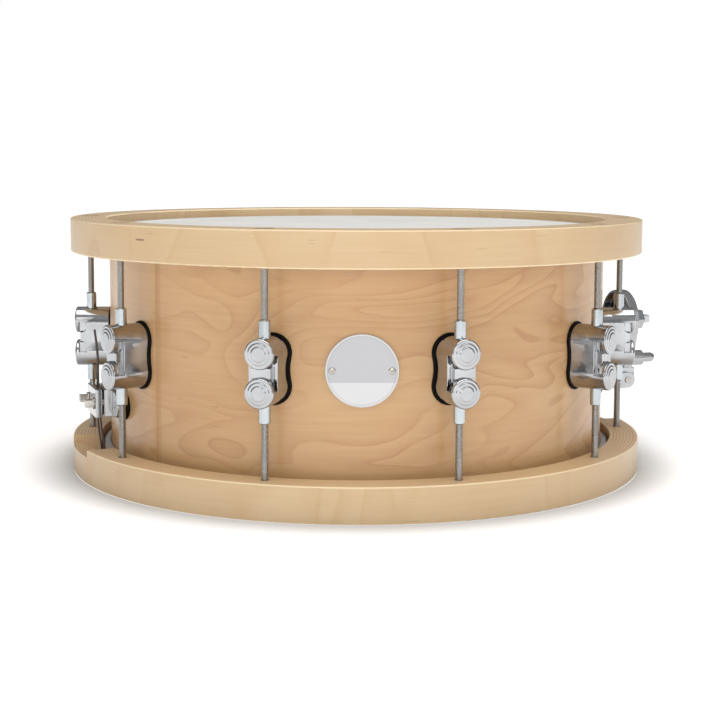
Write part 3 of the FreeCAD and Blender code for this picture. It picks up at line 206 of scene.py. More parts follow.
def make_floor():
    """A pale sheet of paper round the drum, darkened next to it by a painted contact shadow."""
    mesh = bpy.data.meshes.new("floor")
    # open under the drum, so that light from beneath reaches its underside
    points, faces, count = [], [], FLOOR_SEGMENTS
    for radius in (HOOP_RADIUS - 0.1 * MM, FLOOR_RADIUS):
        for k in range(count):
            angle = 2 * math.pi * k / count
            points.append((radius * math.cos(angle), radius * math.sin(angle), 0))
    for k in range(count):
        after = (k + 1) % count
        faces.append((k, k + count, after + count, after))
    mesh.from_pydata(points, [], faces)
    floor = link("floor", mesh)
    material = bpy.data.materials.new("floor_paper")
    material.use_nodes = True
    shader = material.node_tree.nodes["Principled BSDF"]
    shader.inputs["Roughness"].default_value = 0.9
    shader.inputs["Specular IOR Level"].default_value = 0.1
    # the paper glows away from the drum, so that it ends in the white background with no edge;
    # next to the drum its glow fades and its grey darkens, a painted contact shadow
    nodes, links = material.node_tree.nodes, material.node_tree.links
    reach = nodes.new("ShaderNodeVectorMath")
    reach.operation = "LENGTH"
    links.new(nodes.new("ShaderNodeTexCoord").outputs["Object"], reach.inputs[0])
    for socket, stops in (("Emission Strength", FLOOR_GLOW), ("Base Color", FLOOR_GREY_AND_PAINTED_SHADOW)):
        ramp = nodes.new("ShaderNodeValToRGB")
        fill_ramp(ramp, stops)
        links.new(reach.outputs["Value"], ramp.inputs[0])
        links.new(ramp.outputs[0], shader.inputs[socket])
    shader.inputs["Emission Color"].default_value = (1, 1, 1, 1)
    # clear from beneath, so that the drum's underside can be looked at
    mix = nodes.new("ShaderNodeMixShader")
    links.new(nodes.new("ShaderNodeNewGeometry").outputs["Backfacing"], mix.inputs[0])
    links.new(shader.outputs[0], mix.inputs[1])
    links.new(nodes.new("ShaderNodeBsdfTransparent").outputs[0], mix.inputs[2])
    links.new(mix.outputs[0], nodes["Material Output"].inputs["Surface"])
    mesh.materials.append(material)


make_camera()
make_world()
make_lights()
make_floor()
bpy.context.scene.view_settings.view_transform = "Standard"


# ---------------------------------------------------------------- node helpers


class Tree:
    """Builds one material's nodes. Sockets and numbers can be given alike."""

    def __init__(self, name):
        self.material = bpy.data.materials.new(name)
        self.material.use_nodes = True
        self.nodes = self.material.node_tree.nodes
        self.links = self.material.node_tree.links
        self.shader = self.nodes["Principled BSDF"]

    def put(self, socket, value):
        if isinstance(value, bpy.types.NodeSocket):
            self.links.new(value, socket)
        elif isinstance(value, tuple) and len(value) == 3 and socket.type == "RGBA":
            socket.default_value = (*value, 1)
        else:
            socket.default_value = value

    def node(self, kind, **settings):
        made = self.nodes.new(f"ShaderNode{kind}")
        for key, value in settings.items():
            setattr(made, key, value)
        return made

    def math(self, operation, a, b=None, c=None):
        made = self.node("Math", operation=operation)
        for socket, value in zip(made.inputs, (a, b, c)):
            if value is not None:
                self.put(socket, value)
        return made.outputs[0]

    def add(self, a, b):
        return self.math("ADD", a, b)

    def times(self, a, b):
        return self.math("MULTIPLY", a, b)

    def vector(self, x, y, z):
        made = self.node("CombineXYZ")
        for socket, value in zip(made.inputs, (x, y, z)):
            self.put(socket, value)
        return made.outputs[0]

    def split(self, output):
        """The x, y and z of a point or normal in the piece's own frame, which is the drum's."""
        made = self.node("SeparateXYZ")
        self.links.new(self.node("TexCoord").outputs[output], made.inputs[0])
        return made.outputs

    def noise(self, at, scale, detail=3.0, roughness=0.5, distortion=0.0):
        made = self.node("TexNoise")
        self.put(made.inputs["Vector"], at)
        made.inputs["Scale"].default_value = scale
        made.inputs["Detail"].default_value = detail
        made.inputs["Roughness"].default_value = roughness
        made.inputs["Distortion"].default_value = distortion
        return made.outputs["Fac"]

    def ramp(self, factor, stops):
        """A colour or grey ramp, with stops as fill_ramp takes them."""
        made = self.node("ValToRGB")
        self.put(made.inputs[0], factor)
        fill_ramp(made, stops)
        return made.outputs[0]

    def mix(self, factor, a, b):
        made = self.node("Mix", data_type="RGBA")
        self.put(made.inputs[0], factor)
        self.put(made.inputs[6], a)
        self.put(made.inputs[7], b)
        return made.outputs[2]

    def near(self, value, centre, half, soft):
        """1 where value is within half of centre, fading to 0 over soft."""
        gap = self.math("ABSOLUTE", self.add(value, -centre))
        made = self.node("MapRange")
        made.inputs["From Min"].default_value = half
        made.inputs["From Max"].default_value = half + soft
        made.inputs["To Min"].default_value = 1.0
        made.inputs["To Max"].default_value = 0.0
        self.put(made.inputs["Value"], gap)
        return made.outputs[0]

    def bump(self, height, strength, distance):
        made = self.node("Bump")
        made.inputs["Strength"].default_value = strength
        made.inputs["Distance"].default_value = distance
        self.put(made.inputs["Height"], height)
        self.links.new(made.outputs[0], self.shader.inputs["Normal"])

    def set(self, **values):
        for key, value in values.items():
            name = key.replace("_", " ").title().replace("Ior", "IOR")
            self.put(self.shader.inputs[name], value)


def srgb(red, green, blue):
    """A screen colour from 0 to 255 as linear light."""
    parts = [v / 255 for v in (red, green, blue)]
    return tuple(v / 12.92 if v <= 0.04045 else ((v + 0.055) / 1.055) ** 2.4 for v in parts)


# ---------------------------------------------------------------- materials

# where the shell's seam, the hoops' glued joint and the upper hoop's dark streak stand, and how
# far the streak lies below the top of the drum
SEAM_ANGLE = -48.3
HOOP_JOINT_ANGLE = -131.15
STREAK_ANGLE = -42.8
STREAK_DROP = 9.0 * MM

# the thickness of a ply
SHELL_PLY = 1.4 * MM
HOOP_PLY = 2.3 * MM

# just past the sprayed coating's edge
COATED_RADIUS = 0.178

# the badge, and the height above its middle where it changes tone
BADGE_RADIUS = (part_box("badge")[1][0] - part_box("badge")[0][0]) / 2
BADGE_BAND = -0.31 * BADGE_RADIUS


def unrolled(tree):
    """The surface laid flat: distance round the drum, height, radius and angle."""
    x, y, z = tree.split("Object")
    angle = tree.math("ARCTAN2", x, tree.times(y, -1.0))
    radius = tree.math("SQRT", tree.add(tree.times(x, x), tree.times(y, y)))
    return tree.times(angle, SHELL_RADIUS), z, radius, angle


def figured_maple(tree, along, up, colours, seed, wide, tall, rings, depth):
    """Rotary-cut maple: growth rings as irregular contours, soft shading, fibres and flecks."""
    light, mid, dark = colours
    place = tree.vector(tree.times(along, wide), tree.times(up, tall), seed)
    hills = tree.noise(place, 1.0, 1.6, 0.42, 0.5)
    contour = tree.math("FRACT", tree.times(hills, rings))
    line = tree.ramp(
        contour,
        [
            (0.0, 0.7), (0.03, 1.0), (0.10, 0.62), (0.30, 0.34), (0.66, 0.1), (0.95, 0.0),
            (1.0, 0.6),
        ],
    )
    patches = tree.noise(tree.vector(along, tree.times(up, 1.6), seed + 5.0), 11.0, 2.0)
    strength = tree.ramp(patches, [(0.34, 0.28), (0.62, 1.0)])
    broad = tree.noise(tree.vector(along, tree.times(up, 1.7), seed + 7.0), 6.5, 2.0)
    colour = tree.mix(tree.ramp(broad, [(0.32, 0.0), (0.68, 1.0)]), mid, light)
    colour = tree.mix(tree.times(tree.times(line, strength), depth), colour, dark)
    fibre = tree.noise(
        tree.vector(tree.times(along, 22.0), tree.times(up, 520.0), seed + 2.0), 1.0, 4.0, 0.6
    )
    colour = tree.mix(tree.times(tree.ramp(fibre, [(0.36, 1.0), (0.6, 0.0)]), 0.13), colour, dark)
    fleck_place = tree.vector(tree.times(along, 55.0), tree.times(up, 620.0), seed + 3.0)
    flecks = tree.ramp(tree.noise(fleck_place, 1.0, 1.0), [(0.76, 0.0), (0.80, 1.0)])
    colour = tree.mix(tree.times(flecks, 0.3), colour, tuple(0.5 * v for v in dark))
    return colour, fibre


def shell_maple():
    tree = Tree("shell_maple")
    along, up, radius, angle = unrolled(tree)
    colours = (srgb(209, 171, 124), srgb(200, 158, 110), srgb(168, 113, 64))
    colour, fibre = figured_maple(tree, along, up, colours, 2.6, 7.5, 21.0, 13.0, 0.5)
    seam = tree.near(angle, math.radians(SEAM_ANGLE), 0.0011, 0.0016)
    beside = tree.near(angle, math.radians(SEAM_ANGLE + 0.75), 0.011, 0.004)
    colour = tree.mix(tree.times(beside, 0.22), colour, colours[2])
    colour = tree.mix(tree.times(seam, 0.6), colour, srgb(160, 112, 70))
    plies = tree.math("SINE", tree.times(radius, 2 * math.pi / SHELL_PLY))
    edge = tree.mix(tree.add(tree.times(plies, 0.5), 0.5), srgb(226, 194, 152), srgb(182, 138, 94))
    face_up = tree.ramp(tree.math("ABSOLUTE", tree.split("Normal")[2]), [(0.35, 0.0), (0.5, 1.0)])
    tree.set(base_color=tree.mix(face_up, colour, edge), roughness=0.34)
    tree.set(coat_weight=0.3, coat_roughness=0.14)
    tree.bump(fibre, 0.08, 0.0003)
    return tree.material


def hoop_maple():
    tree = Tree("hoop_maple")
    along, up, radius, angle = unrolled(tree)
    colours = (srgb(214, 187, 147), srgb(207, 176, 134), srgb(188, 147, 101))
    colour, fibre = figured_maple(tree, along, up, colours, 4.2, 12.0, 4.5, 6.0, 0.34)
    joint = tree.near(angle, math.radians(HOOP_JOINT_ANGLE), 0.0006, 0.0010)
    colour = tree.mix(tree.times(joint, 0.5), colour, srgb(150, 108, 70))
    streak_angle = tree.near(angle, math.radians(STREAK_ANGLE), 0.0165, 0.004)
    streak_height = tree.near(up, DRUM_HEIGHT - STREAK_DROP, 0.35 * MM, 0.35 * MM)
    streak = tree.times(streak_angle, streak_height)
    colour = tree.mix(tree.times(streak, 0.8), colour, srgb(112, 72, 44))
    wobble_place = tree.vector(tree.times(along, 14.0), tree.times(radius, 60.0), 4.2)
    wobble = tree.noise(wobble_place, 1.0, 2.0)
    ply = tree.add(tree.times(radius, 2 * math.pi / HOOP_PLY), tree.times(wobble, 2.4))
    wave = tree.add(tree.times(tree.math("SINE", ply), 0.5), 0.5)
    stripe = tree.ramp(wave, [(0.2, 0.0), (0.75, 1.0)])
    edge = tree.mix(stripe, srgb(216, 180, 134), srgb(240, 216, 176))
    streak_place = tree.vector(tree.times(along, 60.0), tree.times(radius, 1500.0), 1.0)
    streaks = tree.noise(streak_place, 1.0, 3.0)
    edge = tree.mix(tree.times(streaks, 0.35), edge, srgb(206, 166, 118))
    rise = tree.math("ABSOLUTE", tree.split("Normal")[2])
    # painted highlight: where the surface turns between the sides and the top and bottom faces,
    # the rounded edges are made paler
    rim = tree.ramp(rise, [(0.08, 0.0), (0.3, 1.0), (0.9, 1.0), (0.97, 0.0)])
    face_up = tree.ramp(rise, [(0.5, 0.0), (0.8, 1.0)])
    colour = tree.mix(face_up, colour, edge)
    colour = tree.mix(tree.times(rim, 0.75), colour, srgb(248, 228, 190))
    tree.set(base_color=colour, roughness=0.42, coat_weight=0.3, coat_roughness=0.22)
    tree.bump(fibre, 0.10, 0.0003)
    return tree.material


def metal(name, colour, roughness, grain=0.03, scale=900.0, stretch=(1, 1, 1), dull=0.88):
    """Plated metal: colour and gloss vary a little, as polishing and handling leave them."""
    tree = Tree(name)
    place = tree.vector(*(tree.times(axis, s) for axis, s in zip(tree.split("Object"), stretch)))
    fine = tree.noise(place, scale, 4.0, 0.6)
    soft = tree.ramp(tree.noise(place, scale / 10, 3.0), [(0.35, 0.0), (0.7, 1.0)])
    gloss = tree.add(tree.times(fine, grain), roughness - grain / 2)
    tree.set(base_color=tree.mix(soft, tuple(colour), tuple(dull * v for v in colour)))
    tree.set(metallic=1.0, roughness=tree.add(gloss, tree.times(soft, grain)))
    tree.bump(fine, 0.02, 0.0001)
    return tree.material


def plastic(name, colour, roughness, scale, bump, tint=0.8, stretch=(1, 1, 1), level=0.5):
    tree = Tree(name)
    place = tree.vector(*(tree.times(axis, s) for axis, s in zip(tree.split("Object"), stretch)))
    fine = tree.noise(place, scale, 3.0, 0.6)
    broad = tree.noise(place, scale / 40, 2.0)
    tree.set(base_color=tree.mix(tree.times(broad, 0.6), colour, tuple(tint * v for v in colour)))
    tree.set(roughness=tree.add(tree.times(fine, 0.15), roughness), specular_ior_level=level)
    tree.bump(fine, bump, 0.0003)
    return tree.material


def coated_film():
    """Sprayed white coating, cloudy and with a fine tooth, inside a clear collar."""
    tree = Tree("coated_film")
    x, y, z = tree.split("Object")
    place = tree.vector(x, y, z)
    radius = tree.math("SQRT", tree.add(tree.times(x, x), tree.times(y, y)))
    tooth = tree.noise(place, 2400.0, 2.0, 0.7)
    cloud = tree.noise(place, 22.0, 3.0)
    coat = tree.ramp(tree.times(radius, 1 / COATED_RADIUS), [(0.955, 1.0), (0.965, 0.0)])
    cloudy = tree.ramp(cloud, [(0.3, 0.0), (0.7, 1.0)])
    white = tree.mix(cloudy, srgb(240, 239, 235), srgb(232, 231, 226))
    tree.set(base_color=tree.mix(coat, srgb(222, 224, 222), white))
    tree.set(roughness=tree.add(tree.times(coat, 0.35), tree.add(tree.times(tooth, 0.1), 0.2)))
    tree.bump(tree.times(tooth, coat), 0.35, 0.0004)
    return tree.material


def badge_metal():
    """Two-tone printed plate: a grey-blue field, a pale band below it and a bright rim."""
    tree = Tree("badge_metal")
    x, y, z = tree.split("Object")
    height = tree.add(z, -BADGE_HEIGHT)
    radius = tree.math("SQRT", tree.add(tree.times(x, x), tree.times(height, height)))
    brushed = tree.noise(tree.vector(tree.times(x, 60.0), y, tree.times(z, 2600.0)), 1.0, 3.0, 0.6)
    field = tree.math("GREATER_THAN", height, BADGE_BAND)
    colour = tree.mix(field, srgb(218, 218, 219), srgb(192, 193, 196))
    line = tree.near(height, BADGE_BAND, 0.12 * MM, 0.08 * MM)
    colour = tree.mix(tree.times(line, 0.5), colour, srgb(120, 124, 128))
    ring = tree.near(radius, BADGE_RADIUS * 0.93, 0.14 * MM, 0.08 * MM)
    colour = tree.mix(tree.times(ring, 0.35), colour, srgb(150, 153, 156))
    rim = tree.ramp(tree.times(radius, 1 / BADGE_RADIUS), [(0.955, 0.0), (0.965, 1.0)])
    colour = tree.mix(rim, colour, srgb(206, 207, 208))
    colour = tree.mix(tree.times(brushed, 0.12), colour, srgb(160, 164, 170))
    tree.set(base_color=colour, roughness=tree.add(tree.times(brushed, 0.12), 0.32))
    tree.set(metallic=tree.add(tree.times(rim, 0.6), 0.25), specular_ior_level=0.5)
    tree.bump(brushed, 0.04, 0.0001)
    return tree.material


MATERIALS = {
    "shell_maple": shell_maple(),
    "hoop_maple": hoop_maple(),
    "coated_film": coated_film(),
    "clear_film": plastic("clear_film", srgb(232, 234, 233), 0.25, 900.0, 0.05, 0.95),
    "flesh_hoop_alloy": metal(
        "flesh_hoop_alloy", (0.78, 0.79, 0.80), 0.28, 0.12, 500.0, (1, 1, 14)
    ),
    "chrome": metal("chrome", (0.47, 0.475, 0.485), 0.10),
    "rod_steel": metal("rod_steel", (0.50, 0.49, 0.475), 0.26, 0.12, 700.0, (1, 1, 0.3), 0.75),
    "zinc_steel": metal("zinc_steel", (0.56, 0.53, 0.49), 0.24, 0.12, dull=0.75),
    "wire_steel": metal("wire_steel", (0.62, 0.62, 0.63), 0.24, 0.08),
    "badge_metal": badge_metal(),
    "rubber": plastic("rubber", (0.004, 0.004, 0.0045), 0.55, 1400.0, 0.12, 0.7, level=0.12),
    "cord": plastic("cord", srgb(92, 84, 84), 0.6, 2500.0, 0.5, 0.55),
}
NUT_METAL = metal("nut_metal", (0.52, 0.56, 0.58), 0.20, 0.08, 700.0, (1, 1, 0.4))
for node, slot in SLOT.items():
    mesh = NODES[node].data
    mesh.materials.clear()
    mesh.materials.append(MATERIALS[slot])


# ---------------------------------------------------------------- mesh helpers


def finish_mesh(mesh, sharp_degrees=32.0):
    bm = bmesh.new()
    bm.from_mesh(mesh)
    bmesh.ops.recalc_face_normals(bm, faces=bm.faces)
    bm.to_mesh(mesh)
    bm.free()
    mesh.shade_smooth()
    mesh.set_sharp_from_angle(angle=math.radians(sharp_degrees))
    return mesh


class Shape:
    """The closed shells of one piece, gathered as plain points and faces."""

    def __init__(self):
        self.points, self.faces = [], []

    def tube(self, rings, matrix=Matrix()):
        """A closed shell through rings of points, each with as many points as the first."""
        start, count = len(self.points), len(rings[0])
        for ring in rings:
            self.points += [matrix @ Vector(point) for point in ring]
        for row in range(len(rings) - 1):
            low = start + row * count
            for k in range(count):
                after = (k + 1) % count
                self.faces.append((low + k, low + after, low + count + after, low + count + k))
        last = start + (len(rings) - 1) * count
        self.faces.append(tuple(range(start + count - 1, start - 1, -1)))
        self.faces.append(tuple(range(last, last + count)))

    def stack(self, outline, levels, matrix=Matrix()):
        """An upright shell whose outline grows and shrinks. A level is (scale, height)."""
        self.tube([[(x * s, y * s, z) for x, y in outline] for s, z in levels], matrix)

    def mesh(self, name, sharp_degrees=32.0):
        mesh = bpy.data.meshes.new(name)
        mesh.from_pydata(self.points, [], self.faces)
        return finish_mesh(mesh, sharp_degrees)


def circle(segments=48):
    steps = [2 * math.pi * k / segments for k in range(segments)]
    return [(math.cos(a), math.sin(a)) for a in steps]


def rounded(corners, radius, steps=3, closed=False):
    """A line through the corners, with each corner eased into a short curve."""
    out = []
    for k, corner in enumerate(corners):
        if not closed and k in (0, len(corners) - 1):
            out.append(tuple(corner))
            continue
        here, after = Vector(corner), Vector(corners[(k + 1) % len(corners)])
        back, ahead = Vector(corners[k - 1]) - here, after - here
        reach = min(radius, 0.45 * back.length, 0.45 * ahead.length)
        first, last = here + back.normalized() * reach, here + ahead.normalized() * reach
        for step in range(steps + 1):
            t = step / steps
            out.append(tuple(first * (1 - t) ** 2 + here * 2 * t * (1 - t) + last * t * t))
    return out


def helix(profile, start, end, pitch, steps, ease=1.0):
    """Rings of a profile carried round the z axis. A profile point is (radius, height). What
    stands past the first point's radius grows and fades over the first and last turns."""
    count = int((end - start) / pitch * steps)
    base = profile[0][0]
    rings = []
    for k in range(count + 1):
        angle = 2 * math.pi * k / steps
        grow = min(1.0, k / steps / ease, (count - k) / steps / ease) if ease else 1.0
        height = start + pitch * k / steps
        ring = []
        for radius, rise in profile:
            r = base + (radius - base) * max(grow, 0.02)
            ring.append((r * math.cos(angle), r * math.sin(angle), height + rise))
        rings.append(ring)
    return rings


def dress(piece, slot, body, *nodes, material=None):
    """Gives a new piece its material, the slot's unless one is given, hides the nodes it stands
    for and hangs it from its body's empty.
    """
    if piece.data.materials:
        piece.data.materials[0] = material or MATERIALS[slot]
    else:
        piece.data.materials.append(material or MATERIALS[slot])
    if nodes:
        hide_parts(*nodes)
    if body:
        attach(piece, body)
    return piece


def even_shading(piece):
    modifier = piece.modifiers.new("even_shading", "WEIGHTED_NORMAL")
    modifier.keep_sharp = True
    modifier.weight = 90


def eased_mesh(node, width, segments=2, matrix=None, corner=28.0):
    """A copy of a CAD node's mesh with its corners rounded, as on a polished casting."""
    bm = bmesh.new()
    bm.from_mesh(NODES[node].data)
    bmesh.ops.remove_doubles(bm, verts=bm.verts, dist=0.004 * MM)
    bmesh.ops.dissolve_limit(
        bm, angle_limit=math.radians(1.0), verts=bm.verts, edges=bm.edges, delimit=set()
    )
    bmesh.ops.dissolve_degenerate(bm, dist=0.02 * MM, edges=bm.edges)
    limit = math.radians(corner)
    edges = [e for e in bm.edges if len(e.link_faces) == 2 and e.calc_face_angle(0) > limit]
    bmesh.ops.bevel(
        bm, geom=edges, offset=width, offset_type="OFFSET", segments=segments, profile=0.5,
        affect="EDGES", clamp_overlap=False,
    )
    mesh = bpy.data.meshes.new(f"{node}_eased")
    bm.to_mesh(mesh)
    bm.free()
    if matrix is not None:
        mesh.transform(matrix)
    mesh.shade_smooth()
    mesh.set_sharp_from_angle(angle=math.radians(40))
    return mesh


def eased(node, width, segments=2, suffix="finished", material=None):
    piece = link(f"{node}_{suffix}", eased_mesh(node, width, segments))
    even_shading(piece)
    return dress(piece, SLOT[node], BODY[node], node, material=material)


# ---------------------------------------------------------------- tension rods

ROD_RADIUS = 2.4 * MM
THREAD_PITCH = 1.058 * MM
THREAD_ROOT = 1.95 * MM
ROD_HEAD_HALF = 3.175 * MM
ROD_HEAD_HEIGHT = 5.0 * MM
COLLAR_RADIUS = 4.9 * MM
COLLAR_TOP = 6.5 * MM
THREAD_START = 10.0 * MM


def rod_mesh():
    """A drum-key rod, head down: square head, round collar and a threaded shaft."""
    low, high = (corner[2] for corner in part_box("snare_tension_rod_01"))
    head_top, collar_top = low + ROD_HEAD_HEIGHT, low + COLLAR_TOP
    shape = Shape()
    half = ROD_HEAD_HALF
    corners = [(-half, -half), (half, -half), (half, half), (-half, half)]
    square = rounded(corners, 0.5 * MM, 3, True)
    levels = [(0.80, low), (0.93, low + 0.25 * MM), (1, low + 0.8 * MM), (1, head_top + 0.2 * MM)]
    shape.stack(square, levels)
    disc = COLLAR_RADIUS
    profile = rounded(
        [(disc * 0.6, head_top), (disc, head_top), (disc, collar_top), (disc * 0.4, collar_top)],
        0.35 * MM, 4,
    )
    shape.stack(circle(), profile)
    neck = low + THREAD_START
    shaft = [
        (ROD_RADIUS, collar_top - 0.3 * MM), (ROD_RADIUS, neck), (THREAD_ROOT, neck + 0.5 * MM),
        (THREAD_ROOT, high - 0.8 * MM), (THREAD_ROOT * 0.7, high),
    ]
    shape.stack(circle(24), shaft)
    core, p = THREAD_ROOT - 0.05 * MM, THREAD_PITCH
    ridge = [(core, -0.44 * p), (ROD_RADIUS, -0.09 * p), (ROD_RADIUS, 0.09 * p), (core, 0.44 * p)]
    shape.tube(helix(ridge, neck + 0.2 * MM, high - 1.4 * MM, p, 18))
    return shape.mesh("threaded_rod", 40)


def make_rods():
    mesh = rod_mesh()
    turn_over = Matrix.Translation((0, 0, DRUM_HEIGHT)) @ Matrix.Rotation(math.pi, 4, "Y")
    for k, angle in enumerate(LUG_ANGLES, start=1):
        for end, flip in (("snare", Matrix()), ("batter", turn_over)):
            node = f"{end}_tension_rod_{k:02d}"
            rod = link(f"{node}_threaded", mesh)
            rod.matrix_world = turned(angle) @ Matrix.Translation((0, -ROD_CIRCLE, 0)) @ flip
            dress(rod, SLOT[node], BODY[node], node)


make_rods()


# ---------------------------------------------------------------- lugs, badge and small fittings


SCREW_RADIUS = 2.3 * MM
SCREW_TURNS = {-1: -2, 1: 58}


def make_lugs():
    mesh = eased_mesh("lug_casting_01", 0.30 * MM, 3, turned(-LUG_ANGLES[0]))
    for k, angle in enumerate(LUG_ANGLES, start=1):
        node = f"lug_casting_{k:02d}"
        casting = link(f"{node}_polished", mesh)
        casting.matrix_world = turned(angle)
        even_shading(casting)
        dress(casting, SLOT[node], BODY[node], node)


def cross_screw_mesh(radius, height):
    """A pan-headed screw's head with a cross recess, its axis up, seated on z = 0."""
    shape = Shape()
    dome = [
        (0.9, -0.4), (0.97, 0), (1, 0.12), (0.97, 0.35), (0.85, 0.65), (0.6, 0.88), (0.3, 0.98),
        (0.02, 1),
    ]
    shape.stack(circle(40), [(radius * r, height * z) for r, z in dome])
    head = link("screw_blank", shape.mesh("screw_blank"))
    cutter = Shape()
    arm, wide = radius * 0.55, radius * 0.13
    for turn in (0, math.pi / 2):
        outline = [(-arm, -wide), (arm, -wide), (arm, wide), (-arm, wide)]
        levels = [(0.45, height * 0.15), (1, height * 1.3)]
        cutter.stack(outline, levels, Matrix.Rotation(turn, 4, "Z"))
    tool = link("screw_tool", cutter.mesh("screw_tool"))
    modifier = head.modifiers.new("recess", "BOOLEAN")
    modifier.operation = "DIFFERENCE"
    modifier.solver = "EXACT"
    modifier.use_self = True
    modifier.object = tool
    graph = bpy.context.evaluated_depsgraph_get()
    mesh = bpy.data.meshes.new_from_object(head.evaluated_get(graph))
    for temporary in (head, tool):
        bpy.data.objects.remove(temporary)
    return finish_mesh(mesh, 30)


def make_badge_screws():
    low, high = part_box("badge_screws")
    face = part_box("badge")[0][1] + 0.3 * MM
    mesh = cross_screw_mesh(SCREW_RADIUS, face - low[1])
    offset = high[0] - SCREW_RADIUS
    for side, tag in ((-1, "left"), (1, "right")):
        screw = link(f"badge_screw_{tag}", mesh)
        place = Matrix.Translation((side * offset, face, BADGE_HEIGHT))
        spin = Matrix.Rotation(math.radians(SCREW_TURNS[side]), 4, "Z")
        screw.matrix_world = place @ Matrix.Rotation(math.pi / 2, 4, "X") @ spin
        dress(screw, SLOT["badge_screws"], BODY["badge_screws"], "badge_screws")


make_lugs()
make_badge_screws()
eased("swivel_nuts", 0.25 * MM, 2, "plated", NUT_METAL)
eased("lug_gaskets", 0.35 * MM, 2, "moulded")
eased("plate_gaskets", 0.35 * MM, 2, "moulded")
eased("badge", 0.12 * MM)
eased("vent_grommet", 0.3 * MM)
eased("rod_ferrules", 0.15 * MM)
eased("mount_screws", 0.3 * MM)
for name, width in (
    ("strainer_base", 0.25), ("strainer_slider", 0.25), ("strainer_lever", 0.4),
    ("lever_rivets", 0.2), ("lever_crank_pin", 0.15), ("tension_knob", 0.35), ("limit_knob", 0.5),
    ("butt_base", 0.4), ("butt_clamp_plate", 0.5), ("strainer_cord_clamp", 0.4),
    ("butt_clamp_screws", 0.3),
):
    eased(name, width * MM, 3)


# ---------------------------------------------------------------- snare wires and cords

STRAND_PITCH = 2.1 * MM
STRAND_COUNT = 20
STRAND_HALF = 151 * MM
COIL_RADIUS = 0.75 * MM
COIL_PITCH = 1.55 * MM
WIRE_RADIUS = 0.19 * MM
STRAND_SPIN = 0.9
PLATE_THICKNESS = 0.7 * MM
PLATE_HALF_WIDTH = 22 * MM
PLATE_TIP = 168 * MM
PLATE_ROOT = 150 * MM
CORD_RADIUS = 0.74 * MM
CORD_LAY = 3.6 * MM


def make_snare_wires():
    """Twenty coiled strands between two end plates, along the line from strainer to butt."""
    low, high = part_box("snare_wires")
    height = high[2] - COIL_RADIUS
    inner, w = COIL_RADIUS - 2 * WIRE_RADIUS, WIRE_RADIUS
    section = [(inner, 0), (inner + w, -w), (inner + 2 * w, 0), (inner + w, w)]
    rings = helix(section, -STRAND_HALF, STRAND_HALF, COIL_PITCH, 7, ease=0)
    shape = Shape()
    lay = Matrix.Rotation(math.pi / 2, 4, "X")
    for k in range(STRAND_COUNT):
        x = (k - (STRAND_COUNT - 1) / 2) * STRAND_PITCH
        spin = Matrix.Rotation(STRAND_SPIN * k, 4, "Z")
        shape.tube(rings, Matrix.Translation((x, 0, height)) @ lay @ spin)
    coils = link("snare_coils", shape.mesh("snare_coils", 60))
    coils.matrix_world = turned(STRAINER_ANGLE)
    dress(coils, SLOT["snare_wires"], BODY["snare_wires"], "snare_wires")
    plates = Shape()
    thick, tip, root = PLATE_THICKNESS, PLATE_TIP, PLATE_ROOT
    for side in (-1, 1):
        corners = [
            (-PLATE_HALF_WIDTH, root), (PLATE_HALF_WIDTH, root),
            (PLATE_HALF_WIDTH, tip - 6 * MM), (PLATE_HALF_WIDTH - 7 * MM, tip),
            (-PLATE_HALF_WIDTH + 7 * MM, tip), (-PLATE_HALF_WIDTH, tip - 6 * MM),
        ]
        outline = rounded([(x, side * y) for x, y in corners], 2.5 * MM, 5, True)
        centre = Vector((0, side * (tip + root) / 2))
        local = [(x - centre[0], y - centre[1]) for x, y in outline]
        top = height - COIL_RADIUS
        levels = [
            (0.985, top - thick), (1, top - thick * 0.7), (1, top - thick * 0.3), (0.985, top),
        ]
        plates.stack(local, levels, Matrix.Translation((0, centre[1], 0)))
    ends = link("snare_end_plates", plates.mesh("snare_end_plates", 50))
    ends.matrix_world = turned(STRAINER_ANGLE)
    dress(ends, SLOT["snare_wires"], BODY["snare_wires"])


def smooth_line(route):
    """The route as one smooth spline's points, read back from Blender."""
    data = bpy.data.curves.new("route", "CURVE")
    data.dimensions = "3D"
    spline = data.splines.new("NURBS")
    spline.points.add(len(route) - 1)
    for point, place in zip(spline.points, route):
        point.co = (*place, 1)
    spline.order_u = 3
    spline.use_endpoint_u = True
    spline.resolution_u = 14
    carrier = link("route", data)
    graph = bpy.context.evaluated_depsgraph_get()
    mesh = bpy.data.meshes.new_from_object(carrier.evaluated_get(graph))
    points = [Vector(v.co) for v in mesh.vertices]
    bpy.data.objects.remove(carrier)
    return points


def laid_rope(line, radius, lay):
    """Three strands laid round a line of points, as lists of rings."""
    strands = [[] for _ in range(3)]
    side = (line[1] - line[0]).orthogonal().normalized()
    travelled, core = 0.0, radius * 0.5
    for k, here in enumerate(line):
        ahead = line[min(k + 1, len(line) - 1)] - line[max(k - 1, 0)]
        along = ahead.normalized()
        side = (side - along * side.dot(along)).normalized()
        other = along.cross(side)
        if k:
            travelled += (here - line[k - 1]).length
        for number, rings in enumerate(strands):
            angle = 2 * math.pi * (number / 3 + travelled / lay)
            centre = here + core * (math.cos(angle) * side + math.sin(angle) * other)
            ring = []
            for step in range(7):
                a = 2 * math.pi * step / 7
                ring.append(centre + (radius - core) * (math.cos(a) * side + math.sin(a) * other))
            rings.append(ring)
    return strands


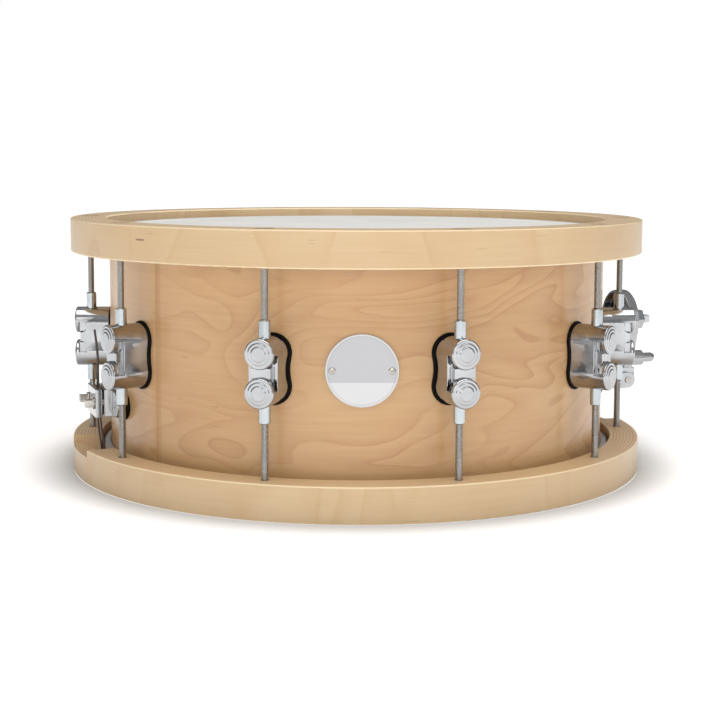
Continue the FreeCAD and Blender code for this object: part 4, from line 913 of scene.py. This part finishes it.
def divided(line, step):
    """The line's points with equal short gaps between them."""
    out, carry = [line[0]], 0.0
    for a, b in zip(line, line[1:]):
        length = (b - a).length
        if length < 1e-9:
            continue
        at = step - carry
        while at <= length:
            out.append(a.lerp(b, at / length))
            at += step
        carry = length - (at - step)
    return out


def cord_piece(name, line_sets, angle, node):
    shape = Shape()
    for strands in line_sets:
        for rings in strands:
            shape.tube(rings)
    piece = link(name, shape.mesh(name, 60))
    piece.matrix_world = turned(angle)
    return dress(piece, SLOT[node], None, node)


# each cord's points as (x, distance from the axis, height) in millimetres, at its own angle
STRAINER_ROUTES = [
    [(s * 8, 200.75, 79), (s * 8, 200.75, 60), (s * 8, 200.75, 44), (s * 8, 190.1, 25.5),
     (s * 8, 186.6, 8), (s * 8, 181.6, 3), (s * 8, 160, 3)]
    for s in (-1, 1)
]
BUTT_ROUTES = [
    [(s - 7.5, 190.15, 101), (s - 1.5, 188.75, 84), (s * 2.2 - 6, 188.75, 67.1),
     (s * 4.5 - 3, 188.75, 52), (s * 6.5, 188.75, 34.3), (s * 6.5, 186.6, 20.5),
     (s * 6.5, 186.1, 8), (s * 6.5, 181.6, 3), (s * 6.5, 160, 3)]
    for s in (-1, 1)
]


def make_cords():
    """Pairs of cord from each clamp, down through the hoop's gate to the snare wires' plates."""
    for node, angle, routes, upper_body in (
        ("strainer_cord", STRAINER_ANGLE, STRAINER_ROUTES, "slider"),
        ("butt_cord", BUTT_ANGLE, BUTT_ROUTES, None),
    ):
        upper, lower = [], []
        for route in routes:
            line = divided(smooth_line([Vector((x, -r, z)) * MM for x, r, z in route]), 0.45 * MM)
            # the lower piece starts where the cord enters the hoop's gate
            split = next(
                k for k, point in enumerate(line) if point[2] < 20 * MM and -point[1] < 190 * MM
            )
            strands = laid_rope(line, CORD_RADIUS, CORD_LAY)
            upper.append([rings[: split + 1] for rings in strands])
            lower.append([rings[split:] for rings in strands])
        piece = cord_piece(f"{node}_upper", upper, angle, node)
        if upper_body:
            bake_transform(piece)
        else:
            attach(piece, "drum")
        piece = cord_piece(f"{node}_lower", lower, angle, node)
        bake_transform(piece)


make_snare_wires()
make_cords()
